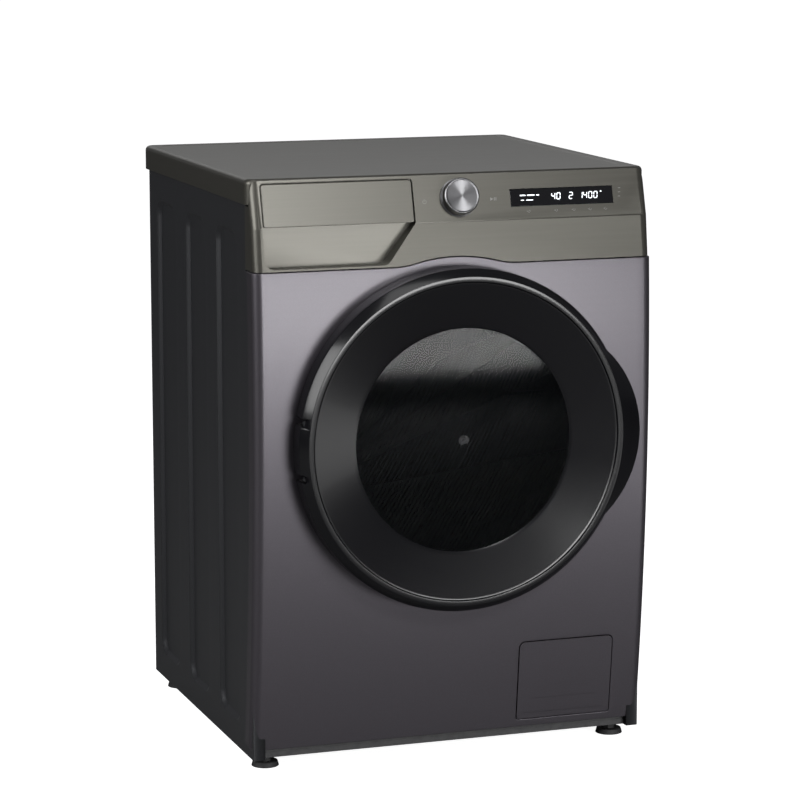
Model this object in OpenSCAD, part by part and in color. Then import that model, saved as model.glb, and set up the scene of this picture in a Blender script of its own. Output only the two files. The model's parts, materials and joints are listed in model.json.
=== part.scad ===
// Front-loading washing machine, free standing, in millimetres.
// Z is up, the front faces -Y, and the origin is on the floor under the middle of the whole.

/* [Body] */
// Width over the front and the top
body_w = 600; // [560:5:620]
// Height from the floor to the top
body_h = 850; // [840:5:900]
// Depth from the foremost line of the front to the rear edge of the top
body_d = 600; // [560:5:640]
// Height of the underside above the floor
foot_h = 18; // [14:1:26]
// Thickness of the steel sheet
sheet = 1.2; // [0.8:0.1:1.6]
// How far each side panel sits inside the width
side_setback = 3; // [2:0.5:5]

/* [Front] */
// Radius of the upright bow of the front
bow_r = 3800; // [3000:100:6000]
// Height of the foremost line of the bow
bow_z = 530; // [480:5:580]
// Radius of the upright corners of the front
corner_r = 14; // [8:1:20]
// Depth of the returns at the sides of the front panel
front_return = 30; // [22:1:40]
// Height of the front panel's lower edge above the underside
skirt_gap = 14; // [10:1:18]

/* [Control panel] */
// Height of the control panel
panel_h = 128; // [120:1:140]
// Height of its lower strip
strip_h = 61; // [56:1:66]
// Backward lean of the lower strip, in degrees
lean_low = 7; // [4:0.5:9]
// Backward lean of the upper strip, in degrees
lean_high = 16; // [12:0.5:19]
// Wall of the plastic mouldings
wall = 2.5; // [2:0.1:3]
// How far the front panel rises in an arch over the door
arch_rise = 12; // [8:1:16]
// Half the width of that arch
arch_half = 75; // [70:1:100]
// Radius of the fillets where the arch runs out
arch_fillet = 120; // [60:5:160]
// Across the drawer front
drawer_w = 224; // [200:1:230]
// Left side of the panel to the drawer front
drawer_margin = 15; // [12:1:20]
// Radius of the drawer front's upper corners
drawer_r = 6; // [4:0.5:9]
// Depth of the finger pocket under the drawer front
pocket_d = 26; // [20:1:28]
// Radius of the pocket's lower corners
pocket_r = 16; // [10:1:20]
// Slant of the pocket's right end, in degrees
pocket_slant = 53; // [45:1:70]
// Knob diameter
knob_d = 53; // [46:1:56]
// How far the knob stands out
knob_out = 18; // [14:1:22]
// Gap between the drawer front and the knob
knob_gap = 40; // [36:1:46]
// Display width
display_w = 157; // [140:1:165]
// Display height, up the slope
display_h = 25; // [20:1:28]
// Gap between the knob and the display
display_gap = 52; // [42:1:58]

/* [Door] */
// Radius of the door's rim at the back
door_r = 246; // [240:1:248]
// How far the door stands out from the front
door_proud = 46; // [42:1:52]
// Width of the chamfer at the front of the rim
rim_chamfer = 10; // [6:1:14]
// Width of the ring from the rim in to the loading hole
mouth_margin = 74; // [70:1:80]
// Gap between the glass bowl and the loading hole
bowl_gap = 22; // [20:1:30]
// How far the window reaches past the bowl
window_lap = 10; // [4:1:12]
// Depth of the dish around the window
dish_d = 18; // [12:1:22]
// Depth of the glass bowl behind the front
bowl_d = 120; // [100:1:130]
// Thickness of the glass
glass = 5; // [4:0.5:6]
// How far the grip stands out past the rim
grip_out = 22; // [16:1:26]
// Half the height of the grip
grip_half = 120; // [100:1:130]
// Gap between the rim and the front
door_gap = 4; // [3:0.5:5]

/* [Drum and tub] */
// Gap between the tub and the sides
tub_side_gap = 27; // [24:1:34]
// Wall of the tub
tub_wall = 4; // [3:0.5:5]
// Gap between the drum and the tub
drum_gap = 18; // [14:1:20]
// Length of the tub, front wall to back wall
tub_len = 360; // [320:5:370]
// Back of the tub to the rear panel
belt_space = 137; // [130:1:150]
// How much narrower the drum's mouth is than the loading hole
drum_mouth_step = 10; // [7:1:16]
// Height of the paddles
paddle_h = 50; // [35:1:55]
// Radius of the drum shaft
shaft_r = 15; // [12:0.5:16]
// Running clearance of shafts and stems
run = 0.05; // [0.03:0.01:0.08]
// How far the tub bounces each way on its springs
bounce = 8; // [6:1:10]

/* [Drive] */
// Radius of the drum pulley
pulley_r = 150; // [130:1:160]
// Radius of the motor pulley
pinion_r = 10; // [9:0.5:14]
// Width of the belt
belt_w = 14; // [12:1:18]
// Thickness of the belt
belt_t = 4; // [3:0.5:5]
// Radius of the motor
motor_r = 62; // [55:1:66]
// Length of the motor
motor_len = 135; // [110:5:140]
// Sideways place of the motor
motor_x = 70; // [60:1:80]
// Height of the motor's middle above the underside
motor_up = 95; // [88:1:100]

/* [Openings at the foot] */
// Width of the service flap
flap_w = 145; // [130:1:150]
// Height of the service flap
flap_h = 118; // [110:1:122]
// Right side of the front to the service flap
flap_margin = 50; // [46:1:60]
// Height of the flap's lower edge above the underside
flap_up = 26; // [24:1:32]
// Radius of the drain filter
filter_r = 30; // [26:1:32]
// Radius of a foot's pad
foot_r = 20; // [16:1:24]
// Radius of a foot's threaded stem
stem_r = 5; // [4:0.5:6]

/* [Rear fittings] */
// Radius of the water inlet stub, G 3/4 thread
inlet_r = 13.2; // [13.2:0.1:13.4]
// Radius of the drain outlet
outlet_r = 10.5; // [9:0.5:12]
// How far the top reaches past the rear panel
top_overhang = 22; // [18:1:26]

/* [Hidden] */
$fn = 96;
BIG_FN = 256;
TUBE_SIDES = 10;

// Planes of the whole
y_back = (body_d + door_proud) / 2;
y_face = y_back - body_d;
y_rear = y_back - top_overhang;
half_w = body_w / 2;
side_x = half_w - side_setback;
side_in = side_x - sheet;
emboss_d = 6;
seam = 1.2;

// The front's bow and the two leaning strips of the control panel
function bow(z) = bow_r - sqrt(bow_r * bow_r - (z - bow_z) * (z - bow_z));
panel_z = body_h - panel_h;
top_h = 36;
top_z = body_h - top_h;
panel_top = body_h - 2;
strip_z = panel_z + strip_h;
panel_hw = half_w - 2.5;
y_low = y_face + bow(panel_z);
y_mid = y_low + strip_h * tan(lean_low);
y_top = y_mid + (panel_top - strip_z) * tan(lean_high);
panel_back = y_top + 19;
top_front = y_top + 3;
drawer_back = top_front;
slope_len = (panel_top - strip_z) / cos(lean_high);
arch_r = (arch_half * arch_half + arch_rise * arch_rise) / (2 * arch_rise);
arch_z = panel_z + arch_rise - arch_r;
fillet_x = sqrt(pow(arch_r + arch_fillet, 2) - pow(panel_z + arch_fillet - arch_z, 2));
arch_sweep = asin(fillet_x / (arch_r + arch_fillet));

// The drum's axis, and what is centred on it
axis_z = panel_z - door_r;
mouth_r = door_r - mouth_margin;
bowl_r = mouth_r - bowl_gap;
window_r = bowl_r + window_lap;
drum_mouth_r = mouth_r - drum_mouth_step;
drawer_floor = strip_z - 31;
tub_r = min(side_in - tub_side_gap, drawer_floor - bounce - 6 - axis_z);
tub_back = y_rear - belt_space;
tub_face = tub_back - tub_len;
tub_split = tub_face + 175;
drum_r = tub_r - tub_wall - drum_gap;
drum_face = tub_face + 17;
drum_back = tub_back - 25;
hub_r = 48;
hub_end = tub_back + 57;
bearing_r = 2 * shaft_r + 1;
bearing_w = 16;
pulley_y = hub_end + 6;
pulley_w = belt_w + 2;
motor_z = foot_h + motor_up;
motor_y = tub_back - 115;
belt_gap = 0.3;

// Places of the drawer, the controls, springs, dampers, hoses and pump
drawer_x0 = -panel_hw + drawer_margin;
drawer_x1 = drawer_x0 + drawer_w;
knob_x = drawer_x1 + knob_gap + knob_d / 2;
display_x = knob_x + knob_d / 2 + display_gap + display_w / 2;
brace_z = top_z - 14;
brace_y = y_rear - 140;
spring_x = tub_r - 22;
spring_y = tub_split + 55;
ear_z = axis_z + sqrt(tub_r * tub_r - spring_x * spring_x) + 26;
damper_x = 165;
damper_y = tub_split + 60;
damper_top = axis_z - sqrt(tub_r * tub_r - damper_x * damper_x) - 25;
floor_z = foot_h + 3;
fill_x = drawer_x0 + 132.5;
nipple_x = drawer_x1 - 61.5;
fill_y = tub_split - 40;
sump_x = 80;
sump_y = tub_face + 55;
sump_z = axis_z - tub_r - 22;
sump_back = tub_split - 24;
filter_x = half_w - flap_margin - flap_w / 2;
filter_z = foot_h + 70;
filter_y = y_face + 66;
filter_len = 150;
foot_x = half_w - 32;
foot_front_y = y_face + 70;
foot_rear_y = y_rear - 42;

// Drawer tray, hinge and latch
tray_z = strip_z + 3;
hinge_x = -(door_r - 13.5);
hinge_y = y_face - 30;
hinge_pin_r = 3;
ear_gap = 40;
ear_t = 5;
hook_x = mouth_r + 32;
fitting_y = y_face + max(bow(axis_z - 66), bow(axis_z + 66)) + sheet + 0.1;

// ---- Helpers ----

module along_y(y0, y1) {
  translate([0, y1, 0]) rotate([90, 0, 0]) linear_extrude(y1 - y0) children();
}
module along_x(x0, x1) {
  translate([x0, 0, 0]) rotate([90, 0, 90]) linear_extrude(x1 - x0) children();
}
module rod_y(x, z, r, y0, y1) {
  translate([x, y0, z]) rotate([-90, 0, 0]) cylinder(r = r, h = y1 - y0);
}
module box(x0, x1, y0, y1, z0, z1) {
  translate([x0, y0, z0]) cube([x1 - x0, y1 - y0, z1 - z0]);
}
// A turned piece about the drum's axis, drawn as [radius, y]
module turned() {
  translate([0, 0, axis_z]) rotate([-90, 0, 0]) rotate_extrude() children();
}
module rounded(w, h, r) {
  square([w - 2 * r, h], center = true);
  square([w, h - 2 * r], center = true);
  for (sx = [-1, 1], sy = [-1, 1]) translate([sx * (w / 2 - r), sy * (h / 2 - r)]) circle(r);
}
// Plan of a front moulding: flat at y = 0, with rounded front corners
module front_plan(hw, r, depth) {
  translate([-hw + r, 0]) square([2 * (hw - r), depth]);
  translate([-hw, r]) square([2 * hw, depth - r]);
  for (s = [-1, 1]) translate([s * (hw - r), r]) circle(r);
}
// Everything behind the bowed front, from a given depth below its surface
module bowed_body(inset) {
  translate([-body_w, y_face + bow_r, bow_z]) rotate([0, 90, 0])
    cylinder(r = bow_r - inset, h = 2 * body_w, $fn = BIG_FN);
}
// A bowed sheet moulding, swept about the bow's far centre line
module bowed_shell(hw, r, depth, thick) {
  up = asin((panel_z + 30 - bow_z) / bow_r) + 1;
  down = asin((bow_z - foot_h) / bow_r) + 1;
  translate([0, y_face + bow_r, bow_z]) rotate([0, 90, 0])
    rotate_extrude(start = -90 - up, angle = up + down, $fn = BIG_FN * 4)
      translate([bow_r, 0]) rotate(90) difference() {
        front_plan(hw, r, depth);
        translate([0, thick]) front_plan(hw - thick, r - thick, depth);
      }
}
// The arch's upper line: a fillet, the arch over the door, and the other fillet
function arc_points(x, z, r, a0, a1, n) = [for (i = [0 : n]) let(a = a0 + (a1 - a0) * i / n)
  [x + r * sin(a), z + r * cos(a)]];
function arch_line(grow) = concat(
  arc_points(-fillet_x, panel_z + arch_fillet, arch_fillet - grow, 180, 180 - arch_sweep, 8),
  arc_points(0, arch_z, arch_r + grow, -arch_sweep, arch_sweep, 32),
  arc_points(fillet_x, panel_z + arch_fillet, arch_fillet - grow, 180 + arch_sweep, 180, 8));
// Outline of the front panel, with its arch over the door and rounded lower corners
module front_outline(grow) {
  z0 = foot_h + skirt_gap;
  r = corner_r;
  translate([-half_w + r, z0]) square([2 * (half_w - r), panel_z - z0 + grow]);
  translate([-half_w, z0 + r]) square([2 * half_w, panel_z - z0 - r + grow]);
  for (s = [-1, 1]) translate([s * (half_w - r), z0 + r]) circle(r);
  polygon(concat([[-fillet_x, panel_z - 5]], arch_line(grow), [[fillet_x, panel_z - 5]]));
}
// A tall prism that leans back from a line across the front at height z0
module leaning_prism(z0, y0, lean, inset) {
  translate([0, y0 + inset / cos(lean), z0]) rotate([-lean, 0, 0]) translate([0, 0, -body_h / 4])
    linear_extrude(body_h / 2) front_plan(panel_hw - inset, corner_r - inset, 200);
}
module panel_solid(inset) {
  z0 = panel_z - (inset > 0 ? 1 : 0);
  intersection() {
    box(-half_w, half_w, y_face - 10, panel_back, z0, panel_top - inset);
    leaning_prism(panel_z, y_low, lean_low, inset);
    leaning_prism(strip_z, y_mid, lean_high, inset);
  }
}
// Local frame on the upper strip: x across, z up the slope, -y straight out
module on_strip(x, up) {
  translate([x, y_mid, strip_z]) rotate([-lean_high, 0, 0]) translate([0, 0, up]) children();
}
// A tube along points, with each ring square to the way there
function unit(v) = v / norm(v);
function way(p, i) = unit(p[min(i + 1, len(p) - 1)] - p[max(i - 1, 0)]);
module tube(p, r, sides) {
  rings = [for (i = [0 : len(p) - 1]) let(w = way(p, i), a = unit(cross(w, [1, 0.02, 0.01])),
    b = cross(w, a)) for (k = [0 : sides - 1])
      p[i] + r * (cos(360 * k / sides) * a + sin(360 * k / sides) * b)];
  last = (len(p) - 1) * sides;
  polyhedron(rings, concat([[for (k = [0 : sides - 1]) k]],
    [for (i = [0 : len(p) - 2], k = [0 : sides - 1]) let(n = (k + 1) % sides)
      [i * sides + k, (i + 1) * sides + k, (i + 1) * sides + n, i * sides + n]],
    [[for (k = [sides - 1 : -1 : 0]) last + k]]));
}
// Points of a smooth curve through the given ones
function spline(p, n) = [for (i = [0 : len(p) - 2], j = [0 : n - 1]) let(t = j / n,
  a = p[max(i - 1, 0)], b = p[i], c = p[i + 1], d = p[min(i + 2, len(p) - 1)])
  b + t * ((c - a) / 2 + t * (a - 2.5 * b + 2 * c - d / 2 + t * (1.5 * (b - c) + (d - a) / 2)))];
// A bellows hose standing on z0, as turned beads
module bellows(x, y, z0, z1, r, thick) {
  beads = max(2, round((z1 - z0) / 9));
  pitch = (z1 - z0) / beads;
  translate([x, y, z0]) rotate_extrude() difference() {
    union() {
      square([r, z1 - z0]);
      for (i = [0 : beads - 1]) translate([r, (i + 0.5) * pitch]) circle(pitch * 0.36, $fn = 24);
    }
    square([r - thick, 3 * (z1 - z0)], center = true);
  }
}

// ---- Cabinet ----

module side_panel(s) {
  y0 = y_face + front_return;
  y1 = y_rear - sheet - 0.2;
  recess_w = 110;
  recess_z = (foot_h + 38 + panel_top - 74) / 2;
  recess_h = panel_top - 74 - foot_h - 38;
  first = y1 - 42 - recess_w / 2;
  pitch = 166;
  color("#45464a") mirror([s < 0 ? 1 : 0, 0, 0]) intersection() {
    bowed_body(front_return + seam);
    difference() {
      union() {
        box(side_in, side_x, y0, y1, foot_h + 1, top_z + 12);
        box(side_in - 18, side_x, y1 - sheet, y1, foot_h + 1, top_z + 12);
        box(side_in - 16, side_x, housing_back + 6, y1, top_z + 12 - sheet, top_z + 12);
        for (i = [0 : 2]) along_x(side_in - emboss_d, side_x)
          translate([first - i * pitch, recess_z]) rounded(recess_w + 2 * sheet, recess_h, 28);
      }
      for (i = [0 : 2]) along_x(side_x - emboss_d, side_x + 1)
        translate([first - i * pitch, recess_z]) rounded(recess_w, recess_h - 2 * sheet, 27);
      box(side_in - 1, side_x + 1, y_face, panel_back + seam, panel_z - seam, body_h);
    }
  }
}
module side_panel_left() { side_panel(-1); }
module side_panel_right() { side_panel(1); }

cover_w = 340;
cover_h = 470;
cover_z = axis_z - 40;
transit_x = 195;
transit_z = [axis_z + 105, axis_z - 150];
inlet_x = -170;
inlet_z = brace_z - 26;
outlet_x = 235;
outlet_z = axis_z + 235;
gland_x = 205;
gland_z = brace_z - 26;
module rear_panel() {
  color("#8d8f92") difference() {
    along_y(y_rear - sheet, y_rear) translate([0, (foot_h + 1 + top_z + 12) / 2])
      rounded(2 * side_x - 1, top_z + 11 - foot_h, 4);
    along_y(y_rear - 5, y_rear + 5) translate([0, cover_z]) rounded(cover_w - 24, cover_h - 24, 40);
    for (s = [-1, 1], z = transit_z) rod_y(s * transit_x, z, 14, y_rear - 5, y_rear + 5);
    rod_y(inlet_x, inlet_z, inlet_r + 3, y_rear - 5, y_rear + 5);
    rod_y(outlet_x, outlet_z, outlet_r + 4, y_rear - 5, y_rear + 5);
    rod_y(gland_x, gland_z, 10, y_rear - 5, y_rear + 5);
  }
}
module rear_cover() {
  color("#97999c") difference() {
    union() {
      along_y(y_rear, y_rear + sheet) translate([0, cover_z]) rounded(cover_w, cover_h, 44);
      along_y(y_rear, y_rear + 10) translate([0, cover_z]) rounded(cover_w - 60, cover_h - 60, 40);
    }
    along_y(y_rear - 1, y_rear + 10 - sheet) translate([0, cover_z])
      rounded(cover_w - 62, cover_h - 62, 39);
    for (i = [0 : 6]) along_y(y_rear, y_rear + 12) translate([0, cover_z - 150 + i * 14])
      rounded(120, 5, 2.4);
  }
}
module top_cover() {
  r = 12;
  d = y_back - top_front;
  color("#5f5d54") difference() {
    translate([0, y_back, 0]) mirror([0, 1, 0]) translate([0, 0, top_z])
      linear_extrude(top_h) front_plan(half_w, r, d);
    translate([0, y_back - wall, 0]) mirror([0, 1, 0]) translate([0, 0, top_z - 1])
      linear_extrude(top_h - 2) front_plan(half_w - wall, r - wall, d);
    translate([0, (top_front + y_back) / 2, body_h - 0.8]) linear_extrude(5)
      rounded(body_w - 48, d - 44, 10);
  }
}
// The finger pocket, with a round lower left corner and a slanting right end
module pocket_outline(grow) {
  x0 = drawer_x0 - grow;
  x1 = drawer_x1 + grow;
  z0 = panel_z + 4 - grow;
  r = pocket_r + grow;
  run_up = (strip_z + 0.5 - z0 - r * (1 - cos(pocket_slant))) / tan(pocket_slant);
  foot_x1 = x1 - run_up - r * sin(pocket_slant);
  polygon(concat([[x1, strip_z + 0.5], [x0, strip_z + 0.5]],
    arc_points(x0 + r, z0 + r, r, 270, 180, 8),
    arc_points(foot_x1, z0 + r, r, 180, 180 - pocket_slant, 6)));
}
// The opening of the drawer, or its front: round upper corners and a square foot
module drawer_outline(inset) {
  w = drawer_w - 2 * inset;
  h = panel_top - 3.5 - strip_z - 2 * inset;
  translate([(drawer_x0 + drawer_x1) / 2, (strip_z + panel_top - 3.5) / 2]) {
    rounded(w, h, drawer_r - inset);
    translate([-w / 2, -h / 2]) square([w, h / 2]);
  }
}
module control_panel() {
  color("#5b5950") difference() {
    union() {
      difference() {
        panel_solid(0);
        panel_solid(wall);
        box(-half_w, half_w, top_front - seam / 2, y_face + 99, top_z - 2, body_h);
      }
      intersection() {
        panel_solid(0.5);
        along_y(y_face, y_low + pocket_d + wall) pocket_outline(wall);
      }
    }
    along_y(y_face - 5, y_low + pocket_d) pocket_outline(0);
    along_y(y_face - 5, y_face + 90) drawer_outline(0);
    along_y(y_face - 5, y_face + 90) front_outline(seam);
    box(-panel_hw - 1, panel_hw + 1, y_face - 5, y_mid + 0.9, strip_z - 0.7, strip_z + 0.7);
    on_strip(knob_x, slope_len / 2) rotate([90, 0, 0]) cylinder(r = 7, h = 40, center = true);
    on_strip(display_x, slope_len / 2 - 3) translate([-display_w / 2 - 0.4, -9, -display_h / 2 - 0.4])
      cube([display_w + 0.8, 30, display_h + 0.8]);
  }
}
module front_panel() {
  lock_slot_h = 36;
  color("#4d4a50") difference() {
    union() {
      intersection() {
        bowed_shell(half_w, corner_r, front_return, sheet);
        along_y(y_face - 5, y_face + 90) front_outline(0);
      }
      intersection() {
        bowed_body(0.1);
        turned() translate([mouth_r, y_face]) square([sheet, 20]);
      }
      intersection() {
        bowed_body(0.1);
        for (s = [-1, 1]) translate([filter_x + s * (flap_w / 2 + 3.5), flap_pin_y, flap_pin_z])
          translate([-1.5, -20, -5.5]) cube([3, 25.5, 11]);
      }
    }
    along_y(y_face - 5, y_face + 12) translate([0, axis_z]) circle(mouth_r);
    along_y(y_face - 5, y_face + 60) flap_outline(seam);
    translate([filter_x - flap_w, flap_pin_y, flap_pin_z]) rotate([0, 90, 0])
      cylinder(r = flap_pin_r + run, h = 2 * flap_w);
    for (s = [-1, 1]) box(hinge_x + 7, hinge_x + 38, y_face - 5, y_face + 12,
      axis_z + s * ear_gap - ear_t, axis_z + s * ear_gap + ear_t);
    box(hook_x - 10, hook_x + 10, y_face - 5, y_face + 12,
      axis_z - lock_slot_h / 2, axis_z + lock_slot_h / 2);
  }
}
base_y0 = y_face + bow(foot_h) + 8;
module base_pan() {
  h = 26;
  hw = side_in - emboss_d - 1;
  y1 = y_rear - 2 * sheet - 1;
  color("#26272a") difference() {
    union() {
      difference() {
        box(-hw, hw, base_y0, y1, foot_h, foot_h + h);
        box(-hw + 3, hw - 3, base_y0 + 3, y1 - 3, floor_z, foot_h + h + 1);
        box(-damper_x + 36, 40, base_y0 + 190, y1 - 190, foot_h - 1, floor_z + 1);
      }
      for (x = [-foot_x, foot_x], y = [foot_front_y, foot_rear_y])
        translate([x, y, foot_h]) cylinder(r = 15, h = h + 4);
      for (s = [-1, 1]) translate([s * damper_x, damper_y, foot_h]) cylinder(r = 24, h = 12);
    }
    for (x = [-foot_x, foot_x], y = [foot_front_y, foot_rear_y])
      translate([x, y, foot_h - 1]) cylinder(r = stem_r + run, h = h + 9);
  }
}
module cross_braces() {
  color("#a5a7aa") for (y = [spring_y, brace_y]) difference() {
    box(-side_in + 0.2, side_in - 0.2, y - 16, y + 16, brace_z, top_z + 2);
    box(-side_in - 1, side_in + 1, y - 14, y + 14, brace_z + 2, top_z + 3);
  }
}
module panel_screws() {
  color("#c9cacc") {
    for (s = [-1, 1], k = [-1, 0, 1]) rod_y(s * (cover_w / 2 - 12), cover_z + k * 150, 4,
      y_rear + sheet, y_rear + sheet + 2.5);
    for (s = [-1, 1], k = [0 : 3]) rod_y(s * (side_x - 12), foot_h + 72 + k * (top_z - 164) / 3, 4,
      y_rear, y_rear + 2.5);
    for (s = [-1, 1]) rod_y(s * 200, top_z - 3, 4, y_rear, y_rear + 2.5);
  }
}
module transit_caps() {
  color("#d8d8d4") for (s = [-1, 1], z = transit_z) {
    rod_y(s * transit_x, z, 20, y_rear, y_rear + 4);
    rod_y(s * transit_x, z, 13.6, y_rear - 12, y_rear);
  }
}

// ---- Controls ----

module display_window() {
  color("#0b0c0e") on_strip(display_x, slope_len / 2 - 3)
    translate([-display_w / 2, 0.2, -display_h / 2]) cube([display_w, 2, display_h]);
}
module control_board() {
  board_x = drawer_x1 + 8.5;
  board_w = display_x + display_w / 2 + 4 - board_x;
  color("#2f6b3c") on_strip(board_x, slope_len / 2) translate([0, 13, -24]) cube([board_w, 1.6, 46]);
  color("#22252a") difference() {
    on_strip(knob_x, slope_len / 2) translate([0, 13, 0]) rotate([90, 0, 0]) cylinder(r = 10, h = 8);
    on_strip(knob_x, slope_len / 2) rotate([90, 0, 0]) cylinder(r = 3 + run, h = 60, center = true);
  }
  color("#1a1c20") on_strip(display_x, slope_len / 2 - 3)
    translate([-display_w / 2 + 4, 3, -display_h / 2 + 2]) cube([display_w - 8, 9.6, display_h - 4]);
}
module program_knob() {
  color("#b9bbbd") on_strip(knob_x, slope_len / 2) {
    rotate([90, 0, 0]) rotate_extrude() polygon([[0, knob_out], [0, -11], [3, -11], [3, 2],
      [knob_d / 2 - 3, 2], [knob_d / 2 - 3, 0.6], [knob_d / 2 + 1, 0.6], [knob_d / 2 + 1, 2.4],
      [knob_d / 2 - 1, 3], [knob_d / 2 - 0.5, knob_out - 1.5], [knob_d / 2 - 2, knob_out]]);
  }
}
housing_back = tub_split + 15;
module drawer_housing() {
  x0 = drawer_x0 - 3;
  x1 = drawer_x1 + 3;
  y0 = panel_back - 4;
  z1 = top_z + top_h - 9;
  color("#c8cacb") difference() {
    union() {
      box(x0, x1, y0, housing_back, drawer_floor, z1);
      translate([fill_x, fill_y, drawer_floor - 10]) cylinder(r = 20, h = 20);
      rod_y(nipple_x, z1 - 14, 8, housing_back - 4, housing_back + 14);
    }
    box(x0 + wall, x1 - wall, y0 - 1, housing_back - wall, drawer_floor + wall, z1 - wall);
    translate([fill_x, fill_y, drawer_floor - 11]) cylinder(r = 17, h = 22);
    rod_y(nipple_x, z1 - 14, 6, housing_back - 5, housing_back + 15);
  }
}
module drawer_front() {
  color("#6a685e") difference() {
    intersection() {
      leaning_prism(strip_z, y_mid, lean_high, 0);
      along_y(y_face - 10, drawer_back) drawer_outline(seam);
    }
    box(drawer_x0 + 4, drawer_x1 - 4, y_mid + 7, drawer_back - 3, strip_z - 1, panel_top - 12);
  }
}
module drawer_tray() {
  x0 = drawer_x0 + 6;
  x1 = drawer_x1 - 6;
  y0 = drawer_back;
  y1 = housing_back - 8;
  z1 = top_z + 14;
  third = (x1 - x0 - 8) / 3;
  color("#dcdedd") difference() {
    box(x0, x1, y0, y1, tray_z, z1);
    for (i = [0 : 2]) box(x0 + 2 + i * (third + 2), x0 + 2 + i * (third + 2) + third, y0 + 2, y1 - 2,
      tray_z + 2, z1 + 1);
  }
}

// ---- Door and its fittings ----

module door_ring() {
  front = y_face - door_proud;
  crest = 8;
  grip_cx = ((door_r + grip_out) * (door_r + grip_out) - door_r * door_r)
    / (2 * (door_r + grip_out - sqrt(door_r * door_r - grip_half * grip_half)));
  color("#111214") difference() {
    union() {
      turned() polygon([[door_r, y_face + 16], [door_r, front + rim_chamfer + 4],
        [door_r - rim_chamfer, front], [door_r - rim_chamfer - crest, front],
        [door_r - rim_chamfer - crest, front + 4], [door_r - rim_chamfer - 1, front + 4],
        [door_r - 3, front + rim_chamfer + 5], [door_r - 3, y_face + 16]]);
      difference() {
        along_y(front + 5, y_face - 22) translate([grip_cx, axis_z])
          circle(door_r + grip_out - grip_cx);
        along_y(front - 5, y_face) translate([0, axis_z]) circle(door_r - 2);
      }
    }
    bowed_body(-door_gap);
    for (s = [-1, 1]) box(-door_r - 5, -door_r + 51, hinge_y - 8, y_face + 20,
      axis_z + s * ear_gap - ear_t, axis_z + s * ear_gap + ear_t);
  }
}
dish_y = y_face - door_proud + 2 + dish_d;
module door_cover() {
  t = 3;
  edge = door_r - rim_chamfer - 8.5;
  color([0.05, 0.05, 0.06, 0.7]) turned() polygon([[0, dish_y], [window_r, dish_y],
    [window_r + 6, dish_y - 3], [edge, y_face - door_proud + 1.5], [edge, y_face - door_proud + 1.5 + t],
    [window_r + 6, dish_y - 3 + t], [window_r, dish_y + t], [0, dish_y + t]]);
}
module door_inner_frame() {
  color("#1a1b1d") difference() {
    turned() polygon([[bowl_r + 2, y_face - 10], [bowl_r + 2, y_face - 7], [door_r - 3.4, y_face - 7],
      [door_r - 3.4, y_face - 26], [door_r - 4.4, y_face - 26], [door_r - 4.4, y_face - 10]]);
    box(hook_x - 2.2, hook_x + 2.2, y_face - 20, y_face, axis_z - 12.2, axis_z + 12.2);
    for (s = [-1, 1]) box(-door_r - 5, -door_r + 51, hinge_y - 8, y_face + 20,
      axis_z + s * ear_gap - ear_t, axis_z + s * ear_gap + ear_t);
  }
}
module door_bowl() {
  back = y_face + bowl_d;
  color([0.75, 0.8, 0.82, 0.35]) turned() polygon([[bowl_r + 24, y_face - 10],
    [bowl_r, y_face - 10], [bowl_r - 4, y_face + 20], [bowl_r * 0.78, back - 10],
    [bowl_r * 0.72, back], [0, back + 2], [0, back + 2 - glass], [bowl_r * 0.72 - 3, back - glass],
    [bowl_r * 0.78 - glass, back - 12], [bowl_r - 4 - glass, y_face + 18],
    [bowl_r - glass, y_face - 15], [bowl_r + 24, y_face - 15]]);
}
module door_hook() {
  color("#c0c2c4") difference() {
    union() {
      box(hook_x - 2, hook_x + 2, y_face - 10, y_face + 17, axis_z - 12, axis_z + 12);
      box(hook_x - 14, hook_x + 14, y_face - 13, y_face - 10, axis_z - 16, axis_z + 16);
    }
    box(hook_x - 3, hook_x + 3, y_face + 7, y_face + 12, axis_z - 7, axis_z + 7);
  }
}
module hinge_leaf() {
  h = 2 * ear_gap - ear_t - 1;
  color("#1f2024") difference() {
    union() {
      translate([hinge_x, hinge_y, axis_z - h / 2]) cylinder(r = 6.5, h = h);
      box(hinge_x, hinge_x + 52, hinge_y + 2, hinge_y + 6, axis_z - h / 2, axis_z + h / 2);
      box(hinge_x + 36, hinge_x + 52, hinge_y + 2, y_face - 10, axis_z - h / 2, axis_z + h / 2);
    }
    translate([hinge_x, hinge_y, axis_z - h]) cylinder(r = hinge_pin_r + run, h = 2 * h);
  }
}
module hinge_bracket() {
  reach = fitting_y - hinge_y + 2;
  color("#1f2024") {
    box(hinge_x + 2, hinge_x + 42, fitting_y, fitting_y + 3, axis_z - 66, axis_z + 66);
    for (s = [-1, 1]) translate([hinge_x, hinge_y, axis_z + s * ear_gap - ear_t / 2])
      linear_extrude(ear_t) {
        circle(7);
        polygon([[-2, 6.5], [6, -3.5], [35, 20], [35, reach], [11, reach]]);
      }
    translate([hinge_x, hinge_y, axis_z - ear_gap - 5])
      cylinder(r = hinge_pin_r, h = 2 * ear_gap + 10);
  }
}
module door_lock() {
  color("#e3e0d6") difference() {
    box(hook_x - 20, hook_x + 20, fitting_y, y_face + 36, axis_z - 38, axis_z + 38);
    box(hook_x - 8, hook_x + 8, y_face - 6, y_face + 24, axis_z - 16, axis_z + 16);
  }
}
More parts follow.
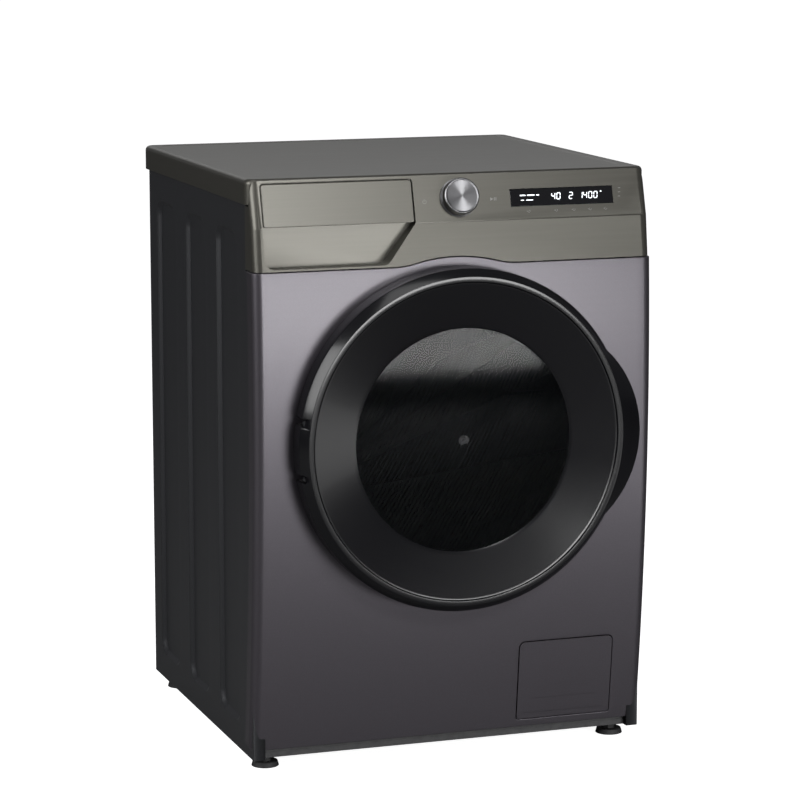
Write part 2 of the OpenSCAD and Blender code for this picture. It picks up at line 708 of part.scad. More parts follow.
module door_gasket() {
  lip = bowl_r + 2.5;
  yb = tub_face - 26;
  color("#3a3c3f") turned() polygon([[lip, y_face + 3], [lip + 5, y_face + 1],
    [mouth_r - 0.4, y_face + 22], [mouth_r + 6, y_face + 22], [mouth_r + 6, y_face + 25],
    [mouth_r - 5, y_face + 25], [mouth_r - 9, yb - 6], [mouth_r + 2, yb], [mouth_r + 2, tub_face - 5],
    [mouth_r - 1, tub_face - 5], [mouth_r - 1, yb + 3], [mouth_r - 14, yb - 4],
    [mouth_r - 11, y_face + 24], [lip, y_face + 10]]);
}
module gasket_clamp() {
  color("#b5b7ba") turned() translate([mouth_r + 4.1, tub_face - 14]) circle(2, $fn = 24);
}

// ---- Tub and what it carries ----

collar_r = mouth_r - 4.5;
module tub_front() {
  y0 = tub_face;
  color("#b9bbb8") difference() {
    union() {
      turned() polygon([[collar_r, y0 - 22.8], [collar_r + 3, y0 - 22.8], [collar_r + 3, y0],
        [tub_r, y0], [tub_r, tub_split - 8], [tub_r + 11, tub_split - 8], [tub_r + 11, tub_split - 0.2],
        [tub_r - tub_wall, tub_split - 0.2], [tub_r - tub_wall, y0 + tub_wall],
        [collar_r, y0 + tub_wall]]);
      difference() {
        union() {
          translate([fill_x, fill_y, axis_z]) cylinder(r = 17, h = drawer_floor - 38 - axis_z);
          box(-95, sump_x + 25, y0 + 30, sump_back, sump_z, axis_z - drum_r);
          translate([sump_x, sump_y, sump_z - 22]) cylinder(r = 15, h = 30);
        }
        turned() translate([0, y0 - 40]) square([tub_r - tub_wall, tub_len + 100]);
      }
    }
    translate([fill_x, fill_y, axis_z]) cylinder(r = 14, h = 400);
    difference() {
      box(-91, sump_x + 21, y0 + 34, sump_back - 4, sump_z + tub_wall, axis_z - drum_r);
      turned() translate([0, y0]) square([drum_r, tub_len]);
    }
    translate([sump_x, sump_y, sump_z - 30]) cylinder(r = 12, h = 50);
    for (s = [-1, 1]) rod_y(s * 25, sump_z + 11, 4, sump_back - 5, sump_back + 1);
  }
}
module tub_rear() {
  y1 = tub_back;
  color("#b9bbb8") difference() {
    union() {
      turned() polygon([[tub_r - tub_wall, tub_split], [tub_r + 11, tub_split],
        [tub_r + 11, tub_split + 8], [tub_r, tub_split + 8], [tub_r, y1], [hub_r, y1],
        [hub_r, hub_end], [shaft_r + 3, hub_end], [shaft_r + 3, y1 - tub_wall],
        [tub_r - tub_wall, y1 - tub_wall]]);
      for (i = [0 : 11]) translate([0, 0, axis_z]) rotate([0, i * 30, 0])
        box(hub_r - 2, tub_r - 4, y1 - 1, y1 + 16, -2, 2);
      difference() {
        for (s = [-1, 1]) {
          box(s * (spring_x + 4) - 12, s * (spring_x + 4) + 12, spring_y - 6, spring_y + 6,
            axis_z, ear_z);
          box(s * damper_x - 12, s * damper_x + 12, damper_y - 10, damper_y + 10,
            damper_top, axis_z);
        }
        turned() translate([0, tub_split]) square([tub_r - tub_wall, tub_len]);
      }
    }
    turned() translate([0, y1 - tub_wall - 1]) square([bearing_r, bearing_w + 7]);
    turned() translate([0, hub_end - bearing_w]) square([bearing_r, bearing_w + 1]);
  }
}
module drum_bearings() {
  color("#9ea1a5") turned() for (y = [tub_back + 2, hub_end - bearing_w])
    translate([shaft_r + run, y]) square([bearing_r - shaft_r - run, bearing_w]);
}
module shaft_seal() {
  color("#2b2d30") turned() translate([shaft_r + run, tub_back - tub_wall])
    square([bearing_r - shaft_r - run, 5.8]);
}
module counterweight_front() {
  color("#8f8d86") difference() {
    turned() polygon([[collar_r + 12, tub_face], [collar_r + 12, tub_face - 30],
      [tub_r - 14, tub_face - 30], [tub_r - 4, tub_face - 20], [tub_r - 4, tub_face]]);
    for (s = [-1, 1]) box(s * tub_r - 100, s * tub_r + 100, y_face, tub_face + 1,
      axis_z - 48, axis_z + 48);
  }
}
module counterweight_top() {
  color("#8f8d86") difference() {
    box(-115, 105, housing_back + 4, tub_back - 26, axis_z + tub_r - 60, axis_z + tub_r + 40);
    turned() translate([0, tub_face]) square([tub_r + 0.2, 2 * tub_len]);
    turned() translate([0, tub_split - 1]) square([tub_r + 12, 10]);
  }
}
module heater() {
  y0 = tub_face + 68;
  color("#a9acb0") for (s = [-1, 1]) rod_y(s * 25, sump_z + 11, 3.9, y0, sump_back + 12);
  color("#a9acb0") translate([0, y0, sump_z + 11]) rotate([0, 0, 180])
    rotate_extrude(angle = 180) translate([25, 0]) circle(3.9);
  color("#202226") box(-36, 36, sump_back + 0.2, sump_back + 8, sump_z + 2, sump_z + 19);
}
module motor() {
  color("#5a5d61") difference() {
    union() {
      rod_y(motor_x, motor_z, motor_r, motor_y, motor_y + motor_len);
      rod_y(motor_x, motor_z, motor_r * 0.55, motor_y - 12, motor_y + motor_len + 10);
      difference() {
        for (y = [motor_y + 14, motor_y + motor_len - 34]) box(motor_x - 34, motor_x + 34, y, y + 16,
          motor_z, axis_z - sqrt(tub_r * tub_r - motor_x * motor_x) + 14);
        turned() translate([0, tub_split]) square([tub_r + 0.2, 2 * tub_len]);
      }
    }
    rod_y(motor_x, motor_z, 7 + run, motor_y - 20, motor_y + motor_len + 20);
    for (i = [0 : 11]) translate([motor_x, 0, motor_z]) rotate([0, i * 30, 0])
      box(motor_r - 5, motor_r + 5, motor_y + 40, motor_y + motor_len - 40, -4, 4);
  }
}
module damper_rods() {
  color("#b8babd") for (s = [-1, 1]) translate([s * damper_x, damper_y, floor_z + 70])
    cylinder(r = 5, h = damper_top - floor_z - 70);
}
module damper_cylinders() {
  h = damper_top - floor_z - 9 - 60;
  color("#1f2124") for (s = [-1, 1]) translate([s * damper_x, damper_y, foot_h + 12]) difference() {
    cylinder(r = 16, h = h);
    translate([0, 0, 30]) cylinder(r = 12, h = h - 50);
    translate([0, 0, 20]) cylinder(r = 5 + run, h = h);
  }
}
module suspension_springs() {
  turns = 9;
  steps = 10;
  z0 = ear_z + 18;
  z1 = brace_z - 18;
  coil = [for (i = [0 : turns * steps]) let(a = 360 * i / steps)
    [12 * cos(a), 12 * sin(a), z0 + (z1 - z0) * i / (turns * steps)]];
  color("#7c7f83") for (s = [-1, 1]) translate([s * (spring_x + 4), spring_y, 0]) {
    tube(coil, 2, 6);
    for (span = [[ear_z, z0 + 2], [z1 - 2, brace_z]]) translate([12, 0, span[0]])
      cylinder(r = 1.8, h = span[1] - span[0], $fn = 16);
  }
}

// ---- Drum and drive ----

module drum_shell() {
  t = 1.2;
  color("#c4c6c9") turned() polygon([[drum_mouth_r, drum_face + 6], [drum_mouth_r + 4, drum_face],
    [drum_r, drum_face], [drum_r, drum_back], [shaft_r + 8, drum_back], [shaft_r + 8, drum_back - t],
    [drum_r * 0.55, drum_back - t], [drum_r * 0.62, drum_back - 10], [drum_r * 0.8, drum_back - 10],
    [drum_r * 0.86, drum_back - t], [drum_r - t, drum_back - t], [drum_r - t, drum_face + t],
    [drum_mouth_r + 4.6, drum_face + t], [drum_mouth_r + t, drum_face + 6.6]]);
}
module drum_paddles() {
  color("#d5d7d9") intersection() {
    turned() translate([0, drum_face + 20]) square([drum_r - 1.4, drum_back - drum_face - 40]);
    for (i = [0 : 2]) translate([0, 0, axis_z]) rotate([0, i * 120 + 90, 0])
      along_y(drum_face + 20, drum_back - 20) {
        polygon([[drum_r, 36], [drum_r - 12, 27], [drum_r - paddle_h + 9, 12],
          [drum_r - paddle_h + 9, -12], [drum_r - 12, -27], [drum_r, -36]]);
        translate([drum_r - paddle_h + 11, 0]) circle(12);
      }
  }
}
module drum_spider() {
  color("#a8aaad") {
    turned() translate([0, drum_back + 0.3]) square([hub_r - 8, 17]);
    for (i = [0 : 2]) translate([0, 0, axis_z]) rotate([0, i * 120 + 90, 0]) {
      along_y(drum_back + 0.3, drum_back + 14) polygon([[0, 24], [drum_r - 18, 13],
        [drum_r - 8, 13], [drum_r - 8, -13], [drum_r - 18, -13], [0, -24]]);
      along_y(drum_back, drum_back + 0.4) translate([drum_r - 24, 0]) circle(10);
    }
    rod_y(0, axis_z, shaft_r, drum_back + 1, pulley_y + pulley_w + 2);
    rod_y(0, axis_z, 12, pulley_y + pulley_w + 2, pulley_y + pulley_w + 8);
  }
}
module drum_pulley() {
  y0 = pulley_y;
  y1 = pulley_y + pulley_w;
  color("#b4b6b8") difference() {
    union() {
      turned() translate([pulley_r - 8, y0]) square([8, pulley_w]);
      turned() translate([shaft_r, y0]) square([14, pulley_w]);
      turned() translate([shaft_r, y0 + 6]) square([pulley_r - shaft_r - 4, 3]);
      for (i = [0 : 5]) translate([0, 0, axis_z]) rotate([0, i * 60, 0])
        box(shaft_r + 8, pulley_r - 6, y0 + 3, y1 - 3, -3, 3);
    }
    for (i = [0 : 5]) translate([0, 0, axis_z]) rotate([0, i * 60 + 30, 0])
      rod_y(pulley_r * 0.58, 0, 24, y0, y1);
    rod_y(0, axis_z, shaft_r, y0 - 1, y1 + 1);
  }
}
module motor_pulley() {
  color("#b4b6b8") {
    rod_y(motor_x, motor_z, 7, motor_y - 10, pulley_y - 1);
    rod_y(motor_x, motor_z, pinion_r, pulley_y - 2, pulley_y + pulley_w + 2);
    for (y = [pulley_y - 2, pulley_y + pulley_w])
      rod_y(motor_x, motor_z, pinion_r + 5.5, y, y + 2);
  }
}
// Outline of a loop around two circles, the second at [d, 0]
function loop_outline(r1, r2, d) = let(wrap = acos((r1 - r2) / d), n1 = 72, n2 = 16) concat(
  [for (i = [0 : n1]) let(a = wrap + (360 - 2 * wrap) * i / n1) r1 * [cos(a), sin(a)]],
  [for (i = [0 : n2]) let(a = -wrap + 2 * wrap * i / n2) [d, 0] + r2 * [cos(a), sin(a)]]);
module drive_belt() {
  d = norm([motor_x, axis_z - motor_z]);
  color("#18191b") translate([0, 0, axis_z]) rotate([0, atan2(axis_z - motor_z, motor_x), 0])
    along_y(pulley_y + 1, pulley_y + 1 + belt_w) difference() {
      polygon(loop_outline(pulley_r + belt_gap + belt_t, pinion_r + belt_gap + belt_t, d));
      polygon(loop_outline(pulley_r + belt_gap, pinion_r + belt_gap, d));
    }
}

// ---- Water and electrics ----

module inlet_valve() {
  y0 = y_rear - 48;
  color("#e8e6df") difference() {
    union() {
      box(inlet_x - 18, inlet_x + 18, y0 + 6, y_rear - 4, inlet_z - 16, inlet_z + 16);
      rod_y(inlet_x, inlet_z, inlet_r, y_rear - 5, y_back - 4);
      rod_y(inlet_x, inlet_z, 6, y0 - 14, y0 + 7);
      rod_y(inlet_x, inlet_z, inlet_r + 6, y_rear, y_rear + 3);
    }
    rod_y(inlet_x, inlet_z, inlet_r - 3, y_rear - 12, y_back);
    rod_y(inlet_x, inlet_z, 4, y0 - 15, y_rear);
  }
  color("#3b64a0") translate([inlet_x, y_rear - 26, inlet_z + 16]) cylinder(r = 11, h = 12);
}
module fill_hose() {
  z1 = top_z + top_h - 9 - 14;
  path = spline([[nipple_x, housing_back + 14.2, z1], [nipple_x, housing_back + 44, z1],
    [nipple_x - 8, housing_back + 100, z1 + 2], [-150, brace_y - 40, z1 + 3], [-162, brace_y + 20, z1 + 1],
    [inlet_x, y_rear - 86, inlet_z + 14],
    [inlet_x, y_rear - 68, inlet_z]], 6);
  color("#6d7074") tube(concat(path, [[inlet_x, y_rear - 66, inlet_z],
    [inlet_x, y_rear - 62.2, inlet_z]]), 8, TUBE_SIDES);
}
module dispenser_bellows() {
  color("#2b2d30") bellows(fill_x, fill_y, drawer_floor - 37.8, drawer_floor - 10.2, 20, 2.5);
}
module sump_hose() {
  color("#2b2d30") bellows(sump_x, sump_y, filter_z + 42.2, sump_z - 22.2, 18, 2.5);
}
module filter_housing() {
  y1 = filter_y + filter_len;
  r = filter_r + 6;
  color("#cfd1d2") difference() {
    union() {
      rod_y(filter_x, filter_z, r, filter_y, y1);
      rod_y(filter_x, filter_z, r + 8, filter_y, filter_y + 4);
      translate([sump_x, sump_y, filter_z]) cylinder(r = 17, h = 42);
      translate([sump_x, sump_y, filter_z]) rotate([0, 90, 0])
        cylinder(r = 17, h = filter_x - sump_x);
      translate([sump_x, sump_y, filter_z]) sphere(17);
      box(filter_x - 22, filter_x + 22, filter_y + 20, y1 - 10, floor_z, filter_z);
    }
    rod_y(filter_x, filter_z, filter_r + 2, filter_y - 1, y1 - 4);
    translate([sump_x, sump_y, filter_z + 2]) cylinder(r = 14, h = 60);
    translate([sump_x, sump_y, filter_z]) rotate([0, 90, 0])
      cylinder(r = 14, h = filter_x - sump_x);
  }
}
module drain_filter() {
  y0 = filter_y - 8;
  color("#5d6bb0") {
    rod_y(filter_x, filter_z, filter_r + 2 - run, y0 + 8.2, y0 + 34);
    rod_y(filter_x, filter_z, filter_r + 6, y0 + 2, y0 + 7.8);
    rod_y(filter_x, filter_z, filter_r + 1, y0 + 7, y0 + 9);
    box(filter_x - 4, filter_x + 4, y0 - 12, y0 + 3, filter_z - filter_r + 2, filter_z + filter_r - 2);
    for (i = [0 : 7]) translate([filter_x, 0, filter_z]) rotate([0, i * 45, 0])
      translate([filter_r - 8, 0, 0]) rod_y(0, 0, 2.5, y0 + 30, y0 + 100);
    rod_y(filter_x, filter_z, filter_r - 4, y0 + 98, y0 + 102);
  }
}
module drain_pump() {
  y0 = filter_y + filter_len + 0.2;
  color("#3d4045") {
    rod_y(filter_x, filter_z, 34, y0, y0 + 20);
    rod_y(filter_x, filter_z, 24, y0 + 20, y0 + 62);
    box(filter_x - 28, filter_x + 28, y0 + 28, y0 + 50, filter_z - 30, filter_z + 30);
    rod_y(filter_x + 50, filter_z - 22, 10, y0 + 2, y0 + 24);
    translate([filter_x, y0 + 12, filter_z - 22]) rotate([0, 90, 0]) cylinder(r = 9, h = 50);
  }
}
module drain_hose() {
  x0 = filter_x + 50;
  z0 = filter_z - 22;
  y0 = filter_y + filter_len + 24.4;
  xs = side_in - emboss_d - 20;
  path = spline([[x0, y0 + 6, z0], [x0, y0 + 34, z0], [xs, y0 + 110, z0], [xs, y0 + 200, z0 + 10],
    [xs, y_rear - 60, z0 + 90], [xs - 2, y_rear - 45, z0 + 260], [xs - 10, y_rear - 60, outlet_z - 120],
    [outlet_x, y_rear - 70, outlet_z - 30], [outlet_x, y_rear - 48, outlet_z - 4],
    [outlet_x, y_rear - 20, outlet_z]], 5);
  color("#85888c") tube(concat([[x0, y0, z0], [x0, y0 + 3, z0]], path,
    [[outlet_x, y_rear - 16, outlet_z], [outlet_x, y_rear - 14.4, outlet_z]]), 11, TUBE_SIDES);
  color("#6d7074") difference() {
    union() {
      rod_y(outlet_x, outlet_z, outlet_r, y_rear - 14, y_back - 2);
      rod_y(outlet_x, outlet_z, outlet_r + 6, y_rear + 0.1, y_rear + 3);
      rod_y(outlet_x, outlet_z, outlet_r + 3.6, y_rear - 14, y_rear + 0.2);
    }
    rod_y(outlet_x, outlet_z, outlet_r - 2.5, y_rear - 10, y_back);
  }
}
module level_sensor() {
  color("#e4e2d8") {
    rod_y(-side_in + 50, brace_z - 40, 24, brace_y - 12, brace_y + 12);
    box(-side_in + 34, -side_in + 66, brace_y - 8, brace_y + 8, brace_z - 52, brace_z);
  }
}
module mains_filter() {
  color("#b0b3b7") box(110, 165, brace_y - 18, brace_y + 18, brace_z - 34, brace_z);
  color("#202226") box(118, 157, brace_y + 18, brace_y + 22, brace_z - 30, brace_z - 4);
}
module cord_gland() {
  color("#1b1c1f") difference() {
    union() {
      rod_y(gland_x, gland_z, 9.8, y_rear - 14, y_rear);
      rod_y(gland_x, gland_z, 14, y_rear, y_rear + 4);
      rod_y(gland_x, gland_z, 8, y_rear + 4, y_back - 6);
    }
    rod_y(gland_x, gland_z, 4.5, y_rear - 20, y_back);
  }
}

// ---- Openings at the foot ----

flap_z = foot_h + flap_up;
flap_pin_r = 2.5;
flap_pin_z = flap_z + 6;
flap_pin_y = y_face + bow(flap_z) + 5;
// The flap, or its opening: the lower corners are tighter, so that the flap clears them as it turns
module flap_outline(grow) {
  w = flap_w + 2 * grow;
  h = flap_h + 2 * grow;
  translate([filter_x, flap_z + flap_h / 2]) {
    rounded(w, h, 8 + grow);
    translate([0, -h / 4]) rounded(w, h / 2, 3 + grow);
  }
}
module service_flap() {
  color("#4d4a50") {
    intersection() {
      bowed_shell(half_w, corner_r, front_return, 2.5);
      along_y(y_face - 5, y_face + 90) flap_outline(0);
    }
    intersection() {
      bowed_body(2.4);
      for (s = [-1, 1]) translate([filter_x + s * (flap_w / 2 - 5), flap_pin_y, flap_pin_z])
        translate([-2, -20, -3]) cube([4, 22.5, 6]);
    }
    for (s = [-1, 1]) translate([filter_x + s * flap_w / 2 - 6, flap_pin_y, flap_pin_z])
      rotate([0, 90, 0]) cylinder(r = flap_pin_r, h = 12);
  }
}

module foot(x, y) {
  color("#141517") translate([x, y, 0]) {
    cylinder(r1 = foot_r, r2 = foot_r - 2, h = 7);
    translate([0, 0, 7]) cylinder(r = 9, h = foot_h - 9, $fn = 6);
    translate([0, 0, 7]) cylinder(r = stem_r, h = foot_h + 28);
  }
}
module foot_front_left() { foot(-foot_x, foot_front_y); }
module foot_front_right() { foot(foot_x, foot_front_y); }
module foot_rear_left() { foot(-foot_x, foot_rear_y); }
module foot_rear_right() { foot(foot_x, foot_rear_y); }

side_panel_left();
side_panel_right();
rear_panel();
rear_cover();
top_cover();
control_panel();
front_panel();
base_pan();
cross_braces();
drawer_housing();
display_window();
control_board();
door_lock();
hinge_bracket();
door_gasket();
gasket_clamp();
damper_cylinders();
suspension_springs();
inlet_valve();
fill_hose();
dispenser_bellows();
sump_hose();
drain_pump();
filter_housing();
drain_hose();
level_sensor();
mains_filter();
cord_gland();
transit_caps();
panel_screws();
tub_front();
tub_rear();
counterweight_front();
counterweight_top();
motor();
heater();
damper_rods();
drum_bearings();
shaft_seal();
drive_belt();
drum_shell();
drum_paddles();
drum_spider();
drum_pulley();
motor_pulley();
door_ring();
door_cover();
door_inner_frame();
door_bowl();
door_hook();
hinge_leaf();
drawer_front();
drawer_tray();
program_knob();
service_flap();
drain_filter();
foot_front_left();
foot_front_right();
foot_rear_left();
foot_rear_right();
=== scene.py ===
# %% [markdown]
# # A front-loading washing machine
#
# The frame holds the real sizes of every part of the machine. This lesson dresses it: pressed steel
# panels, a bowed door with a dished cover, a brushed knob, a lit display and the drum behind the glass.
# Everything is in metres. The front of the machine faces -Y, +X is to the right and Z is up.

# %% Load the frame
import json
import math

import bmesh
import bpy
from mathutils import Matrix, Vector
from mathutils.geometry import delaunay_2d_cdt

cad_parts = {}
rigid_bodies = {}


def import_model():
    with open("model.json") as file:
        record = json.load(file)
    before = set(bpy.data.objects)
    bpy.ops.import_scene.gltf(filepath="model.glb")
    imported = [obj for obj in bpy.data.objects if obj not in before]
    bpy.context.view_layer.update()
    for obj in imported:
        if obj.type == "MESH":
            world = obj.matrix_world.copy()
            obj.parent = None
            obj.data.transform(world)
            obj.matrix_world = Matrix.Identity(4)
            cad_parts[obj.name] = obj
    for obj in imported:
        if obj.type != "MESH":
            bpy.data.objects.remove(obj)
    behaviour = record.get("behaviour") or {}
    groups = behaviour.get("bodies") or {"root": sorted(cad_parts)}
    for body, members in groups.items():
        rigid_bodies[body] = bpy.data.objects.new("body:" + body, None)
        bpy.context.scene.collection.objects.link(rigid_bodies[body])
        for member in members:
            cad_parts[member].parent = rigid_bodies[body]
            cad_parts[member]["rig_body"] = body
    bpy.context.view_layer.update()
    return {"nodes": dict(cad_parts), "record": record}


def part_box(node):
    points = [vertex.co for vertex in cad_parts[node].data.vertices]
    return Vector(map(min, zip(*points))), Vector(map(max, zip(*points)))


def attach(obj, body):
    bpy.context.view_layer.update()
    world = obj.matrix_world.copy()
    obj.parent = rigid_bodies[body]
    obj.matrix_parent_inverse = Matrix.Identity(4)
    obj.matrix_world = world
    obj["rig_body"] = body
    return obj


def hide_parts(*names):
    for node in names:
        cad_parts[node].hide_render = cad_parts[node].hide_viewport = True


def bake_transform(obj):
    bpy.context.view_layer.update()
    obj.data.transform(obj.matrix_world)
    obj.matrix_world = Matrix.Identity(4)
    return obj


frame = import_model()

MM = 0.001

# %% [markdown]
# ## Measuring the frame
#
# A piece fits because it is measured from the frame, not guessed. A few boxes give the planes that
# everything else follows: the foremost line of the bowed front, the middle of the door, the sides.

# %% Planes and centres of the machine
front_low, front_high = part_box("front_panel")
panel_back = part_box("control_panel")[1].y
side_low, side_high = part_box("side_panel_right")
top_low, top_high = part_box("top_cover")
hole_low, hole_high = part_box("door_gasket")
cover_low, cover_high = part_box("door_cover")
cover_r = (cover_high.x - cover_low.x) / 2
door_z = (cover_low.z + cover_high.z) / 2
front_y = front_low.y
front_half = front_high.x
BOW_RADIUS = 3800 * MM
BOW_HEIGHT = 530 * MM
STEEL = 1.2 * MM
print("front at y", round(front_y / MM), "mm, door centre at z", round(door_z / MM), "mm")


def bow(z, inset=0.0):
    """How far the upright bow falls back behind its foremost line at height z."""
    radius = BOW_RADIUS - inset
    return BOW_RADIUS - math.sqrt(radius * radius - (z - BOW_HEIGHT) ** 2)


# %% [markdown]
# ## Camera
#
# A long lens from well back keeps the upright edges nearly parallel, as a catalogue picture does. The
# camera stands to the left of the machine, a little above its top, and looks slightly down.

# %% Camera
camera_data = bpy.data.cameras.new("camera")
camera = bpy.data.objects.new("camera", camera_data)
bpy.context.scene.collection.objects.link(camera)
bpy.context.scene.camera = camera
camera_data.lens = 141.9
camera_data.sensor_width = 36
camera.location = (-1.519, -4.421, 1.292)
CAMERA_TURN = math.radians(19.07)
CAMERA_DIP = math.radians(9.80)
camera.rotation_euler = (math.pi / 2 - CAMERA_DIP, 0, -CAMERA_TURN)
print("lens", camera_data.lens, "mm")

# %% [markdown]
# ## Small helpers for node trees
#
# Looks are built as trees of nodes. Four small functions keep that short: one adds any node and links
# or sets its inputs, the others wrap the three nodes that are needed most.


# %% Helpers that build node trees
def add(tree, kind, links=(), **settings):
    """A node in the tree: settings are its properties, links are {input name: value or socket}."""
    node = tree.nodes.new(kind)
    for key, value in settings.items():
        setattr(node, key, value)
    for key, value in dict(links).items():
        if isinstance(value, bpy.types.NodeSocket):
            tree.links.new(value, node.inputs[key])
        else:
            node.inputs[key].default_value = value
    return node


def maths(tree, operation, a, b):
    return add(tree, "ShaderNodeMath", {0: a, 1: b}, operation=operation).outputs[0]


def spread(tree, value, low, high, out_low=0.0, out_high=1.0):
    """The value's range from low to high, stretched to another range and held there."""
    links = {0: value, 1: low, 2: high, 3: out_low, 4: out_high}
    return add(tree, "ShaderNodeMapRange", links).outputs[0]


def blend_colour(tree, mask, first, second):
    """The first colour where the mask is 0 and the second where it is 1."""
    first, second = ((*c, 1) if isinstance(c, tuple) else c for c in (first, second))
    links = {0: mask, 6: first, 7: second}
    return add(tree, "ShaderNodeMix", links, data_type="RGBA").outputs[2]


# %% [markdown]
# ## Studio
#
# Dark glossy things are lit by what they mirror. So the lights are large soft panels, placed where the
# front, the top and the dished door will show them as slow gradients. The floor is plain and pale.
#
# A backdrop may look white and still not light the scene. The Light Path node tells straight views from
# reflections, so the world is white where it is looked at and nearly dark where a surface mirrors it.


# %% Floor
FLOOR_REACH = 60.0
FLOOR_BEFORE = 8.0
JUST_BELOW = -1 * MM
floor_mesh = bmesh.new()
bmesh.ops.create_grid(floor_mesh, x_segments=8, y_segments=8, size=FLOOR_REACH / 2)
floor_data = bpy.data.meshes.new("floor")
floor_mesh.to_mesh(floor_data)
floor_mesh.free()
floor = bpy.data.objects.new("floor", floor_data)
bpy.context.scene.collection.objects.link(floor)
floor.location = (0, FLOOR_REACH / 2 - FLOOR_BEFORE, JUST_BELOW)
print("floor reaches", FLOOR_REACH, "m")


# %% Lights
def soft_light(name, spot, target, width, height, power):
    """A white panel of width by height metres at spot, facing the target; power is in watts."""
    data = bpy.data.lights.new(name, "AREA")
    data.shape = "RECTANGLE"
    data.size = width
    data.size_y = height
    data.energy = power
    light = bpy.data.objects.new(name, data)
    bpy.context.scene.collection.objects.link(light)
    light.location = spot
    light.visible_camera = False
    light.rotation_euler = (Vector(target) - Vector(spot)).to_track_quat("-Z", "Y").to_euler()


soft_light("front", (0.9, -3.8, 0.45), (0, 0, 0.6), 1.5, 0.6, 56)
soft_light("strip", (0.35, -3.3, 2.2), (-0.2, -0.25, 0.8), 0.6, 0.6, 42)
soft_light("left", (-3.0, -1.0, 1.9), (0, 0, 0.6), 1.6, 2.0, 75)
soft_light("back", (0.6, 2.7, 2.1), (0, 0, 0.85), 2.8, 1.2, 7)
soft_light("above", (-0.4, -0.9, 3.0), (0, 0, 0.85), 1.4, 1.4, 16)
soft_light("floor_right", (1.1, -1.4, 0.03), (-0.1, -0.3, 0.6), 0.7, 0.5, 3)
soft_light("drum", (0.02, -0.02, 0.67), (0, 0.02, 0.3), 0.2, 0.2, 2.0)

# %% World
MIRRORED_GREY = (0.11, 0.11, 0.115)
WHITE = (1.0, 1.0, 1.0)
world = bpy.data.worlds.new("studio")
bpy.context.scene.world = world
world.use_nodes = True
sky_tree = world.node_tree
seen_straight = add(sky_tree, "ShaderNodeLightPath").outputs["Is Camera Ray"]
sky_tree.links.new(blend_colour(sky_tree, seen_straight, MIRRORED_GREY, WHITE),
                   sky_tree.nodes["Background"].inputs["Color"])
bpy.context.scene.view_settings.view_transform = "Standard"
print("world:", world.name)

# %% [markdown]
# ## Shared surface effects
#
# Real finishes share a few habits: metallic lacquer has tiny flakes, mouldings have a fine orange peel,
# brushed metal has long hair lines, corners rub bright and dust settles on what faces up. Each habit is
# one node group with named inputs, so that every material can take it at its own strength.


# %% The node groups
def new_group(name, inputs, outputs):
    """A shader node group whose sockets are given as {name: default}; a None default is a vector."""
    group = bpy.data.node_groups.new(name, "ShaderNodeTree")
    for label, value in inputs.items():
        kind = "NodeSocketVector" if value is None else "NodeSocketFloat"
        socket = group.interface.new_socket(name=label, in_out="INPUT", socket_type=kind)
        if value is not None:
            socket.default_value = value
    for label in outputs:
        group.interface.new_socket(name=label, in_out="OUTPUT", socket_type="NodeSocketFloat")
    return group, group.nodes.new("NodeGroupInput"), group.nodes.new("NodeGroupOutput")


flakes, into, out = new_group("metal_flakes", {"Scale": 2600.0, "Contrast": 1.0}, ["Mask"])
spot = add(flakes, "ShaderNodeTexCoord").outputs["Object"]
cells = add(flakes, "ShaderNodeTexVoronoi", {"Vector": spot, "Scale": into.outputs["Scale"]})
glint = spread(flakes, cells.outputs["Color"], 0.25, 0.85)
flakes.links.new(maths(flakes, "MULTIPLY", glint, into.outputs["Contrast"]), out.inputs["Mask"])

peel, into, out = new_group("orange_peel", {"Scale": 420.0, "Detail": 2.0}, ["Height"])
spot = add(peel, "ShaderNodeTexCoord").outputs["Object"]
links = {"Vector": spot, "Scale": into.outputs["Scale"], "Detail": into.outputs["Detail"]}
peel.links.new(add(peel, "ShaderNodeTexNoise", links).outputs["Fac"], out.inputs["Height"])

hair, into, out = new_group("hair_lines", {"Along": None, "Scale": 1.0}, ["Mask"])
spot = add(hair, "ShaderNodeTexCoord").outputs["Object"]
stretched = add(hair, "ShaderNodeVectorMath", {0: spot, 1: into.outputs["Along"]}, operation="MULTIPLY")
links = {"Vector": stretched.outputs[0], "Scale": into.outputs["Scale"], "Detail": 4.0}
lines = add(hair, "ShaderNodeTexNoise", links).outputs["Fac"]
hair.links.new(spread(hair, lines, 0.3, 0.7), out.inputs["Mask"])

cloud, into, out = new_group("cloudiness", {"Scale": 6.0, "Depth": 0.5}, ["Mask"])
spot = add(cloud, "ShaderNodeTexCoord").outputs["Object"]
soft = add(cloud, "ShaderNodeTexNoise", {"Vector": spot, "Scale": into.outputs["Scale"], "Detail": 3.0})
patch = spread(cloud, soft.outputs["Fac"], 0.3, 0.7)
cloud.links.new(maths(cloud, "MULTIPLY", patch, into.outputs["Depth"]), out.inputs["Mask"])

wear, into, out = new_group("edge_wear", {"Amount": 0.5}, ["Mask"])
point = add(wear, "ShaderNodeNewGeometry").outputs["Pointiness"]
spot = add(wear, "ShaderNodeTexCoord").outputs["Object"]
chips = add(wear, "ShaderNodeTexNoise", {"Vector": spot, "Scale": 90.0, "Detail": 4.0}).outputs["Fac"]
rubbed = maths(wear, "MULTIPLY", spread(wear, point, 0.505, 0.56), spread(wear, chips, 0.35, 0.65))
wear.links.new(maths(wear, "MULTIPLY", rubbed, into.outputs["Amount"]), out.inputs["Mask"])

